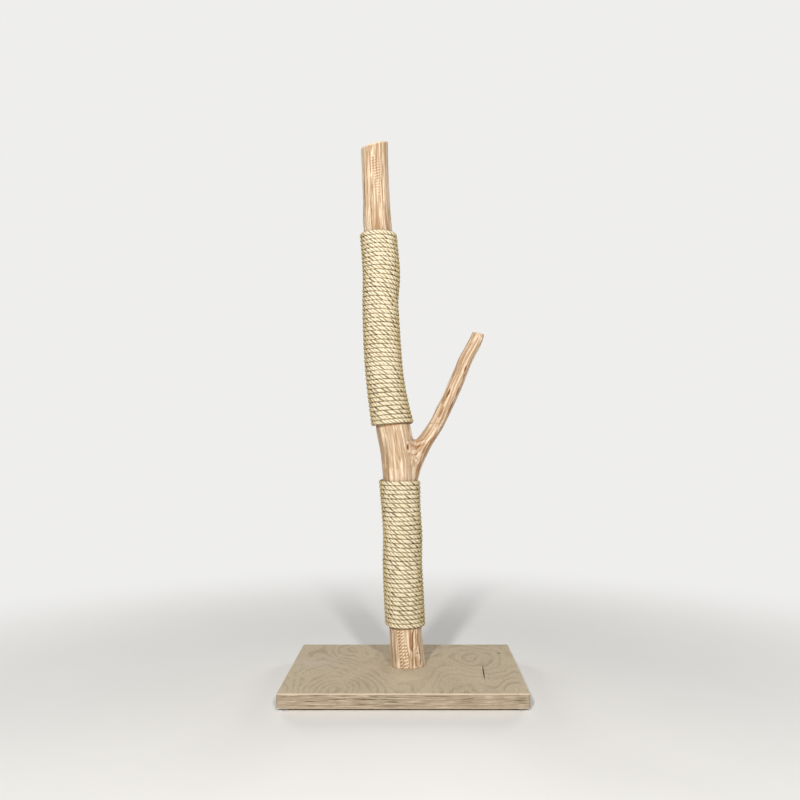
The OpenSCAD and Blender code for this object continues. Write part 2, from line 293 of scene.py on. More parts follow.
def make_mesh(name, points, fours, threes, material):
    """A mesh from arrays of points and of four- and three-sided faces."""
    mesh = bpy.data.meshes.new(name)
    mesh.vertices.add(len(points))
    mesh.vertices.foreach_set("co", np.ascontiguousarray(points, np.float32).ravel())
    corners = np.concatenate([fours.ravel(), threes.ravel()]).astype(np.int32)
    mesh.loops.add(len(corners))
    mesh.loops.foreach_set("vertex_index", corners)
    starts = np.concatenate([
        np.arange(len(fours)) * 4, len(fours) * 4 + np.arange(len(threes)) * 3,
    ]).astype(np.int32)
    mesh.polygons.add(len(starts))
    mesh.polygons.foreach_set("loop_start", starts)
    mesh.update(calc_edges=True)
    mesh.materials.append(material)
    return mesh


def make_piece(name, points, fours, threes, material, nodes, attributes):
    """A smooth object with values for its material at each point, which rides on the body and
    stands for CAD nodes."""
    mesh = make_mesh(name, points, fours, threes, material)
    for key, values in attributes.items():
        values = np.ascontiguousarray(values, np.float32)
        kind, field = ("FLOAT", "value") if values.ndim == 1 else ("FLOAT_VECTOR", "vector")
        mesh.attributes.new(key, kind, "POINT").data.foreach_set(field, values.ravel())
    if mesh.validate():
        raise RuntimeError(name + " has faulty faces")
    mesh.shade_smooth()
    piece = add_object(name, mesh)
    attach(piece, "root")
    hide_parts(*nodes)
    return piece


# ---------------------------------------------------------------- timber


class Timber:
    """The trunk and its branch in metres, with heights measured from the board's top."""

    def __init__(self, s):
        self.s = s
        # The board's top, and how much wider a level cut through the slanting branch is
        self.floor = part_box("base_board")[1].z
        self.stretch = np.hypot(s.branch_reach, s.branch_rise) / s.branch_rise

    def middle(self, h):
        """X and Y of the trunk's line: the foot's place less a share of the lean, and plus a
        share of the sway."""
        t = h / self.s.height
        return np.stack([
            self.s.foot_x - self.s.lean * curve(LEAN, t),
            self.s.foot_y + self.s.sway * curve(SWAY, t),
        ], -1)

    def radius(self, h):
        """Half the foot's width, changed by a share of the taper."""
        change = (self.s.top_width - self.s.foot_width) / 2
        return self.s.foot_width / 2 + change * curve(TAPER, h / self.s.height)

    def lobes(self, h, angle):
        """A cosine with three waves round the trunk, which turns a quarter on its way up."""
        return self.s.lobe * np.cos(3 * angle + TURN / 4 * h / self.s.height)

    def skin(self, h, angle, out=0.0):
        """A point at a height and an angle, out from the trunk's skin."""
        r = self.radius(h) + self.lobes(h, angle) + out
        spoke = np.stack([np.cos(angle), np.sin(angle)], -1)
        return np.concatenate([self.middle(h) + r[:, None] * spoke, h[:, None]], 1)

    def lift(self, h, angle):
        """How far a turn of rope lies above its level at an angle: 0.7 of what would lay it
        square to the trunk's line."""
        step = 0.006
        slope = (self.middle(h + step) - self.middle(h - step)) / (2 * step)
        square = -self.radius(h) * (slope[:, 0] * np.cos(angle) + slope[:, 1] * np.sin(angle))
        return 0.7 * square

    def cut(self, h, angle):
        """How far the slanting top cut lies above its middle, on the skin at an angle."""
        return self.radius(h) * (
            np.tan(self.s.cut_rise) * np.cos(angle) + np.tan(self.s.cut_back) * np.sin(angle))

    def waist(self, h):
        """A bell curve where the branch is a little slimmer, beside the crotch."""
        return 0.0012 * bell(h - self.s.fork_height - 0.086, 0.024)

    def branch_middle(self, h):
        """X and Y of the branch's line. Below its start it runs on into the trunk's heart, and
        over the lower winding a bell curve swells it to the right."""
        s = self.s
        over = h - s.fork_height
        share = over / s.branch_rise
        start = self.middle(np.array([s.fork_height]))[0]
        collar = s.collar * ease((over + 0.001) / 0.003) * bell(over - 0.004, 0.024)
        return np.stack([
            start[0] + s.branch_start + s.branch_reach * curve(REACH, share)
            - 0.5 * np.maximum(-over, 0.0) + collar - self.waist(h),
            start[1] + s.branch_back * share,
        ], -1)

    def branch_radius(self, h):
        """Half the branch's width, times a share of its girth. It thins below its start."""
        s = self.s
        over = h - s.fork_height
        girth = s.branch_width / 2 * curve(GIRTH, over / s.branch_rise)
        return girth - 0.35 * np.maximum(-over, 0.0) - self.waist(h)

    def gaps(self, p):
        """Distance from the trunk's skin and from the branch's, below 0 inside."""
        h = p[:, 2]
        side = p[:, :2] - self.middle(h)
        angle = np.arctan2(side[:, 1], side[:, 0])
        trunk = np.hypot(side[:, 0], side[:, 1]) - self.radius(h) - self.lobes(h, angle)
        side = p[:, :2] - self.branch_middle(h)
        branch = np.hypot(side[:, 0] / self.stretch, side[:, 1]) - self.branch_radius(h)
        return trunk, branch

    def field(self, p):
        """The smaller of the two distances, rounded where they meet by
        (k - their difference) squared over 4 k. Above the board, k grows from 0 past the
        lower winding."""
        trunk, branch = self.gaps(p)
        k = self.s.crotch * ease((p[:, 2] - self.s.fork_height - 0.002) / 0.05) + 1e-6
        return np.minimum(trunk, branch) - np.maximum(k - np.abs(trunk - branch), 0) ** 2 / (4 * k)

    def slope(self, p):
        """The field's slope by differences along X, Y and Z."""
        step = 0.0002
        return np.stack([
            (self.field(p + move) - self.field(p - move)) / (2 * step)
            for move in np.eye(3) * step
        ], -1)

    def settle(self, p, rounds=5):
        """Newton's steps along the slope to where the field is 0."""
        for _ in range(rounds):
            g = self.slope(p)
            p = p - (self.field(p) / (g * g).sum(1))[:, None] * g
        return p

    def grain(self, p):
        """Straightened wood: a point's place beside the line of the trunk, or of the branch
        as it would lie had the branch not turned away, moved by noise so that the grain
        wavers, most of all at the fork, and its height."""
        trunk, branch = self.gaps(p)
        h = p[:, 2:]
        start = np.array([self.s.fork_height])
        offset = (self.branch_middle(start) - self.middle(start))[0]
        share = ease((trunk - branch) / 0.014 + 0.5)[:, None]
        beside = (p[:, :2] - self.middle(h[:, 0])) * (1 - share)
        beside = beside + (p[:, :2] - self.branch_middle(h[:, 0]) + offset) * share
        place = np.concatenate([beside / 0.016, h / 0.030], 1)
        waver = np.stack([noise(place, 21), noise(place, 22)], -1)
        waver *= 0.0007 + 0.0020 * bell(h - self.s.fork_height - 0.055, 0.055)
        return np.concatenate([beside + waver, h], 1)


# Knots: place in millimetres, width and height, depth of the hollow and height of its rim, and
# darkness. Places here and below lie on the wood, and heights are from the board's top.
KNOTS = [
    ((8, -15, 484), 6.0, 12.0, 3.4, 1.1, 1.0),
    ((27, -12, 33), 4.4, 5.5, 0.9, 0.8, 0.7),
    ((-38, 42, 463), 6.5, 8.5, 1.2, 0.9, 0.6),
    ((-58, -3, 505), 3.2, 5.0, 1.4, 0.5, 0.7),
    ((-49, 48, 1018), 6.0, 9.0, 1.3, 0.9, 0.6),
    ((-94, 23, 1095), 4.0, 6.0, 1.0, 0.6, 0.6),
    ((-27, 33, 56), 5.0, 8.0, 1.2, 0.8, 0.6),
    ((97, 6, 604), 5.0, 9.0, 0.4, 0.9, 0.15),
    ((114, 38, 630), 3.6, 5.5, 1.3, 0.7, 0.7),
    ((125, 30, 690), 3.2, 4.6, 1.0, 0.6, 0.7),
]

# Lines: darkness, or paleness below 0, width in millimetres, rise of the wood, and places
LINES = [
    (-0.9, 2.6, 0.5, [(-30, -26, 528), (-27, -27, 512), (-24, -26, 495), (-22, -25, 480),
        (-18, -25, 461), (-11, -24, 448), (-5, -22, 434), (0, -20, 421)]),
    (-0.8, 2.4, 0.4, [(-19, -25, 533), (-17, -26, 521)]),
    (-0.5, 2.6, 0.3, [(-26, -24, 465), (-28, -22, 450), (-27, -21, 434), (-25, -21, 417)]),
    (-0.8, 2.4, 0.4, [(-19, -24, 444), (-14, -23, 428), (-11, -22, 412)]),
    (-0.6, 5, 0.4, [(16, -11, 453), (19, -8, 441), (18, -8, 429), (15, -10, 416)]),
    (-0.7, 2.2, 0.3, [(8, -16, 430), (11, -14, 412)]),
    (-1, 3.2, 1.3, [(11, -10, 506), (13, -8, 497), (18, 1, 493), (25, 2, 491), (32, -1, 492),
        (39, -2, 496), (51, -2, 498), (63, 0, 508), (69, 1, 520), (77, 3, 538)]),
    (-1, 3.2, 1.1, [(4, -19, 480), (7, -16, 476), (14, -10, 473), (23, -5, 474), (30, -4, 475)]),
    (0.75, 2.2, -0.9, [(13, -8, 490), (20, -3, 486), (28, -2, 485), (36, -2, 487), (45, -2, 491)]),
    (0.6, 2.0, -0.7, [(5, -17, 471), (14, -10, 467), (23, -6, 467), (31, -4, 469)]),
    (0.55, 1.8, -0.7, [(14, -8, 504), (19, 0, 499), (26, 2, 497), (34, -1, 499), (41, -2, 503)]),
    (-0.9, 2.0, 0.5, [(15, -8, 479), (12, -11, 484), (12, -10, 490)]),
    (0.8, 1.9, -0.8, [(11, -10, 503), (10, -12, 496)]),
    (0.7, 1.9, -0.8, [(16, 2, 504), (19, 5, 496)]),
    (0.6, 1.9, -0.6, [(52, -2, 493), (45, -3, 482), (42, -2, 473), (37, -2, 462), (33, 0, 449),
        (28, -1, 437), (23, 0, 422)]),
    (0.6, 1.9, -0.6, [(59, 1, 497), (53, 1, 484), (47, 1, 473), (42, 3, 460), (36, 3, 447),
        (31, 3, 435), (27, 5, 422), (24, 5, 411)]),
    (-0.8, 1.8, 0.4, [(56, -1, 496), (48, 0, 478), (39, 2, 455), (31, 1, 440)]),
    (0.3, 8, -0.4, [(20, -3, 482), (33, -4, 482)]),
    (0.30, 8, -0.3, [(-44, -21, 508), (-40, -20, 486), (-37, -18, 456), (-35, -16, 416)]),
    # A broad pale band with no rise on the crotch's right side: painted light on wood that lies in
    # shade
    (-0.5, 7, 0.0, [(8, -14, 528), (11, -12, 512), (15, -12, 500)]),
    (-0.8, 2.4, 0.3, [(-79, -11, 1125), (-78, -8, 1075), (-80, -6, 1039), (-83, -2, 1013),
        (-87, 2, 994)]),
    (-0.8, 2.6, 0.3, [(-69, -12, 1098), (-68, -11, 1074), (-68, -9, 1031), (-67, -9, 1006),
        (-65, -9, 963)]),
    (-0.8, 2.4, 0.3, [(-51, -7, 1028), (-51, -8, 1014), (-48, -7, 994), (-47, -7, 963)]),
    (-0.5, 2.2, 0.2, [(-75, -8, 1025), (-76, -7, 994), (-77, -5, 964)]),
    (0.3, 3, -0.3, [(-84, -9, 1137), (-83, -7, 1111), (-83, -6, 1076)]),
    (0.3, 3, -0.3, [(-73, -10, 1079), (-73, -9, 1053), (-73, -8, 1027)]),
    (0.7, 1.8, -0.7, [(-51, -8, 1079), (-50, -7, 1062), (-48, -6, 1047), (-48, -6, 1029)]),
    (0.35, 2, -0.4, [(-49, -7, 1108), (-47, -6, 1093), (-48, -6, 1080)]),
    (0.3, 2.4, -0.3, [(-61, -10, 1000), (-60, -9, 983), (-57, -9, 963)]),
    (-0.9, 2.2, 0.4, [(-15, -16, 86), (-16, -16, 62), (-16, -15, 44), (-16, -15, 33),
        (-12, -17, 17), (-11, -18, -1)]),
    (0.24, 2, -0.4, [(-19, -14, 83), (-20, -13, 61), (-20, -12, 26), (-17, -14, 0)]),
    (1.2, 2.9, -1.5, [(20, -13, 86), (18, -15, 77), (17, -16, 64), (18, -17, 49), (16, -18, 42),
        (19, -17, 37)]),
    (0.35, 4.5, -0.5, [(14, -17, 80), (13, -18, 60), (13, -19, 41)]),
    (-1, 2.7, 0.8, [(23, -11, 85), (21, -13, 77), (21, -14, 66), (22, -14, 53), (23, -14, 43)]),
    (0.4, 4.5, -0.4, [(28, -7, 80), (27, -9, 63), (28, -10, 45)]),
    (1.05, 2.2, -1.1, [(33, -5, 43), (33, -7, 33), (35, -6, 22), (34, -9, 14), (35, -9, 2)]),
    (0.9, 2.1, -0.9, [(18, -19, 29), (17, -20, 17), (18, -20, 1)]),
    (0.45, 4.5, -0.6, [(25, -15, 27), (25, -16, 16), (26, -17, 3)]),
    (-0.9, 2.2, 0.6, [(30, -11, 27), (31, -12, 17), (31, -13, 5)]),
    (-0.8, 2, 0.4, [(20, -19, 10), (21, -19, 1)]),
    (-0.6, 3, 0.3, [(38, 5, 39), (39, 1, 23), (40, -1, 5)]),
    (-0.9, 2.0, 0.6, [(23, -15, 37), (25, -14, 35), (29, -11, 35), (30, -10, 29)]),
    (-0.9, 2.4, 0.5, [(163, 13, 734), (156, 11, 721), (143, 9, 700), (129, 9, 673), (123, 8, 657),
        (115, 7, 637), (105, 6, 618), (97, 5, 594), (89, 4, 578), (81, 3, 554), (74, 2, 535),
        (66, 0, 518)]),
    (-0.8, 2.8, 0.4, [(171, 16, 730), (161, 11, 716), (151, 9, 699), (142, 9, 683), (135, 9, 667),
        (127, 8, 654), (120, 6, 632), (112, 6, 610), (107, 6, 597), (100, 5, 584), (94, 4, 570),
        (88, 6, 546), (78, 4, 531), (70, 3, 515)]),
    (0.45, 1.9, -0.5, [(166, 13, 729), (158, 11, 718), (147, 9, 698), (135, 8, 677),
        (126, 8, 656), (117, 6, 634), (108, 6, 614), (102, 5, 596), (95, 4, 580), (86, 4, 555),
        (77, 3, 533), (68, 2, 516)]),
    (0.35, 2.2, -0.4, [(155, 14, 730), (147, 13, 716), (136, 12, 700), (124, 12, 677),
        (116, 11, 658), (107, 11, 637), (97, 10, 615), (88, 8, 593), (79, 5, 568), (69, 4, 546),
        (58, 2, 526)]),
    (0.35, 3.6, -0.3, [(176, 25, 729), (171, 18, 718), (159, 13, 700), (149, 14, 678),
        (139, 13, 655), (129, 11, 633), (120, 10, 611), (110, 9, 588), (99, 8, 566), (89, 8, 544),
        (78, 7, 522)]),
    (0.95, 4.8, -1.2, [(101, 7, 613), (92, 7, 594)]),
    (0.9, 3.8, -1.0, [(121, 9, 618), (114, 10, 596)]),
    (0.85, 4.4, -1.1, [(88, 6, 575), (74, 3, 548)]),
    (0.9, 3.8, -0.9, [(109, 8, 586), (95, 9, 556)]),
    (0.6, 4.4, -0.7, [(90, 10, 599), (81, 9, 580)]),
    (0.95, 4.2, -0.9, [(138, 10, 666), (132, 10, 649)]),
    (0.5, 3.4, -0.5, [(134, 11, 648), (129, 11, 635)]),
    (0.7, 2.0, -0.9, [(-3, 50, 90), (-3, 50, 58), (3, 50, 20), (3, 50, 0)]),
    (0.6, 2.0, -0.8, [(-81, 42, 1150), (-81, 42, 1110), (-79, 45, 1060)]),
    (0.6, 2.0, -0.7, [(-1, 42, 520), (2, 44, 480), (7, 44, 430)]),
]

# Rows of small slanting tool marks: lower and upper height, the row's angle below and above,
# half its width in degrees, the pitch in metres, and how strong the marks are
TOOL_ROWS = [
    (0.000, 0.096, -109, -114, 6.0, 0.0062, 1.0),
    (0.000, 0.096, -98, -102, 5.5, 0.0064, 1.0),
    (0.000, 0.060, -88, -91, 5.0, 0.0061, 1.0),
    (1.050, 1.128, -97, -99, 4.5, 0.0055, 0.5),
    (1.050, 1.128, -85, -87, 5.0, 0.0056, 0.6),
    (1.036, 1.118, -73, -75, 5.0, 0.0058, 0.6),
    (1.070, 1.120, -62, -63, 4.5, 0.0055, 0.5),
    (0.000, 0.080, 72, 68, 6.0, 0.0064, 0.7),
    (1.000, 1.100, 120, 122, 5.0, 0.0058, 0.4),
]


# The windings' rise at the front, at their lower and upper ends
LOWER_TILT = (-0.003, 0.0015)
UPPER_TILT = (0.0013, 0.005)
# Painted shadows on the wood just under each winding's lower edge: height, rise at the front and
# darkness
PAINTED_ROPE_SHADOWS = ((0.0878, LOWER_TILT[0], 0.40), (0.5308, UPPER_TILT[0], 0.80))
# The smooth place in the crotch, where there are no streaks: its middle and size
CALM_PLACE = np.array([0.022, -0.004, 0.490])
CALM_SIZE = np.array([0.026, 0.03, 0.022])
# Height of the bare wood at the foot
FOOT_TOP = 0.096
# Wood that the windings hide: how far below and above the fork, and from and to a height
LOWER_HIDDEN = (0.3185, 0.004)
UPPER_HIDDEN = (0.532, 0.960)
# A line's bell curve falls to 1 / e at this share of its width
LINE_SPREAD = 0.62


def carve(timber, p, grain):
    """Height of the wood's relief at each point, in metres, and how dark, pale and rosy the
    wood is there. The relief is the sum of noise drawn out along the grain, of slanting waves
    in the rows of tool marks, and of bell curves at the knots and along the lines."""
    s = timber.s
    h = p[:, 2]
    middle = timber.middle(h)
    angle = np.arctan2(p[:, 1] - middle[:, 1], p[:, 0] - middle[:, 0])
    trunk, branch = timber.gaps(p)
    on_branch = ease((trunk - branch) / 0.008 + 0.5)
    on_trunk = 1 - on_branch

    def drawn(across, along, seed, move=0):
        """Noise of a size across and along the grain."""
        return noise(grain / [across, across, along] + move, seed)

    wide = drawn(0.011, 0.16, 11, 7)
    narrow = drawn(0.0045, 0.07, 12)
    fine = drawn(0.0024, 0.030, 13)
    wander = drawn(0.03, 0.06, 14)
    streak = ease((drawn(0.0030, 0.070, 16) - 0.06) / 0.22)
    thread = ease((drawn(0.0024, 0.055, 18) - 0.08) / 0.22)
    brown = ease((drawn(0.0034, 0.080, 17) - 0.10) / 0.26)
    foot = ease((FOOT_TOP - h) / 0.012)
    fork = bell(h - 0.465, 0.07) * on_trunk
    relief = (0.40 * wide + 0.30 * narrow + 0.15 * fine + 0.25 * wander
              + 0.30 * streak - 0.30 * brown - 0.05) * MM
    relief *= 1 - 0.35 * on_branch
    # The foot swells a little to both ends
    relief += (1.5 - 0.9 * h / 0.09 * (1 - h / 0.09)) * MM * foot
    # The foot is painted paler and less dark: partly the wood's own tone, partly painted light
    # where the lamps reach it less
    pale = (0.76 + 0.24 * foot) * streak + 0.66 * thread + 0.26 * foot
    dark = (0.40 - 0.12 * foot - 0.24 * fork) * brown * (1 - 0.8 * streak)
    rose = 0.5 * ease(wander * 1.5) + 0.5 * ease(np.cos(angle + 0.5) * 1.6 - 0.4)
    calm = np.exp(-(((p - CALM_PLACE) / CALM_SIZE) ** 2).sum(1))
    pale *= 1 - 0.85 * calm
    rose += 0.3 * calm

    for low, high, below, above, width, pitch, force in TOOL_ROWS:
        centre = below + (above - below) * (h - low) / (high - low)
        across = (np.degrees(angle) - centre + 180) % 360 - 180
        inside = ease(1.7 - np.abs(across) / width * 1.5)
        inside *= ease((h - low) / 0.006 + 0.5) * ease((high - h) / 0.008) * on_trunk
        run = np.radians(across) * timber.radius(h)
        wave = np.sin(TURN * ((h - run * 0.5) / pitch + 0.37 * centre + 0.25 * fine))
        inside *= 1 - 0.6 * ease(wide * 2.2)
        relief += inside * (0.40 * wave - 0.1) * force * MM
        # The crests are painted pale and the troughs painted dark, as painted light and shade of
        # the marks' relief
        pale = pale * (1 - 0.8 * inside) + inside * (0.60 + 0.62 * wave)
        dark += inside * 0.38 * force * ease(-wave * 1.2)

    for place, width, tall, depth, rim, shade in KNOTS:
        centre = timber.settle(np.array([place]) * MM)
        scale = np.array([width, width, tall]) / 2 * MM
        reach = np.linalg.norm((p - centre) / scale, axis=1)
        core = bell(reach, 1)
        ring = bell(reach - 1.7, 0.5)
        relief += (-depth * core + rim * ring) * MM
        dark += shade * np.exp(-(reach / 1.1) ** 4) + 0.25 * bell(reach - 2.4, 0.3)
        pale = pale * (1 - core) + 0.8 * ring
        rose += 0.8 * bell(reach, 2.6)

    for shade, width, rise, places in LINES:
        gap, share = path_gap(p, timber.settle(np.array(places) * MM))
        end = np.minimum(np.minimum(share, 1 - share) * max(len(places), 3) * 0.75, 1)
        mark = bell(gap, width * LINE_SPREAD * MM * np.sqrt(0.06 + 0.94 * end))
        mark *= ease(end * 4 + 0.1) * (1 - 0.25 * ease(-fine * 3))
        relief += mark * rise * MM
        pale = pale * (1 - mark) + max(-shade, 0) * mark
        dark = dark * (1 - (0.5 if shade > 0 else 1) * mark) + max(shade, 0) * mark

    # Brown furrows on the lower branch
    low_branch = ease((on_branch - 0.5) * 2) * (1 - ease((h - 0.52) / 0.06))
    furrow = low_branch * ease(drawn(0.0026, 0.12, 15) * 2)
    dark += 0.22 * furrow
    relief -= 0.30 * furrow * MM
    lift = timber.lift(h, angle)
    front = (1 - np.sin(angle)) / 2
    # Painted shadow under each winding's lower edge: darker and less pale in a thin band
    for low, tilt, force in PAINTED_ROPE_SHADOWS:
        beside = h - (low + lift + front * tilt)
        dark = np.maximum(dark, force * bell(beside, 0.0012) * on_trunk)
        pale *= 1 - bell(beside, 0.0014)
    # A pale rim along the top cut
    rim = ease((h - s.height - timber.cut(h, angle) + 0.0042) / 0.0024) * on_trunk
    pale = np.maximum(pale, rim)
    dark *= 1 - rim
    # Beside and under the windings the wood stays inside the rope
    level = h - lift
    below, above = LOWER_HIDDEN
    lower = np.maximum(s.fork_height - below - level, level - s.fork_height - above)
    start, end = UPPER_HIDDEN
    upper = np.maximum(start - level, level - end) + 0.05 * on_branch
    room = np.maximum(np.minimum(lower, upper), 0)
    relief = np.minimum(relief, room * 0.8 - 0.2 * MM)
    return relief, np.clip(dark, 0, 1), np.clip(pale, 0, 1), np.clip(rose, 0, 1)


class Sheaf:
    """Points and faces that are added a row at a time."""

    def __init__(self):
        self.points = np.zeros((0, 3))
        self.fours = []
        self.threes = []

    def add(self, points):
        """Adds points and gives their numbers."""
        ids = np.arange(len(points)) + len(self.points)
        self.points = np.concatenate([self.points, points])
        return ids

    def add_rows(self, first, rows):
        """Adds rows of points above a row of point numbers, and the faces between them."""
        ids = self.add(rows.reshape(-1, 3)).reshape(rows.shape[:2])
        self.fours.append(grid_faces(np.concatenate([first[None], ids])))
        return ids

    def loft(self, first, goal, steps):
        """Adds rows in even steps from a row of point numbers to a row of points."""
        share = np.linspace(0, 1, steps + 1)[1:, None, None]
        return self.add_rows(first, self.points[first] * (1 - share) + goal * share)


def heights(start, *runs):
    """Heights from a start through runs of (end, step), evenly spaced in each."""
    values = [start]
    for end, step in runs:
        count = max(int(round((end - values[-1]) / step)), 1)
        values.extend(np.linspace(values[-1], end, count + 1)[1:])
    return np.array(values)


def relax(sheaf, free, timber, rounds):
    """Evens out the free points: each moves halfway to the mean of its neighbours and then
    back to the skin."""
    faces = np.concatenate(sheaf.fours)
    pairs = np.concatenate([faces[:, [k, (k + 1) % 4]] for k in range(4)])
    pairs = np.unique(np.concatenate([pairs, pairs[:, ::-1]]), axis=0)
    start, end = pairs[free[pairs[:, 0]]].T
    count = np.bincount(start, minlength=len(free))[free][:, None]
    for _ in range(rounds):
        mean = np.stack([
            np.bincount(start, sheaf.points[end, k], len(free))[free] for k in range(3)
        ], -1) / count
        sheaf.points[free] = timber.settle((sheaf.points[free] + mean) / 2, 2)


# Radius of the sawn faces' small edge
CUT_EDGE = 0.0009


def cut_face(sheaf, rim, centre, normal, rings):
    """Closes a tube with a sawn face: the rim's points move in and up round a small edge, and
    then in even shares to the middle."""
    start = sheaf.points[rim]
    inward = centre - start
    inward -= (inward @ normal)[:, None] * normal
    inward = inward / np.linalg.norm(inward, axis=1)[:, None]
    rows = [start + CUT_EDGE * (inward * (1 - np.cos(turn)) + normal * np.sin(turn))
            for turn in np.radians([30, 60, 90])]
    top = rows[-1]
    middle = top.mean(0)
    rows += [top + (middle - top) * share for share in np.linspace(0, 1, rings + 1)[1:-1]]
    ids = sheaf.add_rows(rim, np.array(rows))
    pole = sheaf.add(middle[None])
    sheaf.threes.append(fan_faces(ids[-1], pole[0]))
    return np.concatenate([ids.ravel(), pole])


# Height at which the skin splits in two tubes, points round the trunk's part of that ring and
# round the branch's, and steps along the arch over the crotch
SPLIT = 0.440
TRUNK_POINTS, BRANCH_POINTS, ARCH_STEPS = 120, 52, 48
# Heights where the even rings of trunk and branch begin, over the crotch, and the rows between
TRUNK_CLEAR, BRANCH_CLEAR, LOFT_ROWS = 0.546, 0.556, 67
# Above this height the rings swell out to the branch's skin
SWELL_FROM = 0.4045


def dividing_plane(timber, h):
    """X and Y of the plane that is as far from the trunk's skin as from the branch's."""
    k = timber.stretch
    x, y = timber.middle(h).T
    bx, by = timber.branch_middle(h).T
    r, b = timber.radius(h), timber.branch_radius(h)
    return (x + r - b + bx / k) / (1 + 1 / k), (y + by) / 2


def outline(timber, h, sign):
    """The skin in the dividing plane: the place furthest to the back, or to the front, where
    the field is below 0."""
    x, y = dividing_plane(timber, h)

    def place(out):
        return np.stack([x, y + sign * out, h], -1)

    far = np.full(len(h), 0.06)
    return place(halve(lambda out: timber.field(place(out)) < 0, 0 * far, far, 40))


def swell(timber, row):
    """Moves a row's points straight out from the trunk's line, each as far as the field stays
    below 0, which is the branch's skin."""
    middle = np.concatenate([timber.middle(row[:, 2]), row[:, 2:]], 1)
    near = np.ones((len(row), 1))
    share = halve(
        lambda mid: (timber.field(middle + (row - middle) * mid) < 0)[:, None],
        near, 1.9 * near, 24)
    return middle + (row - middle) * share


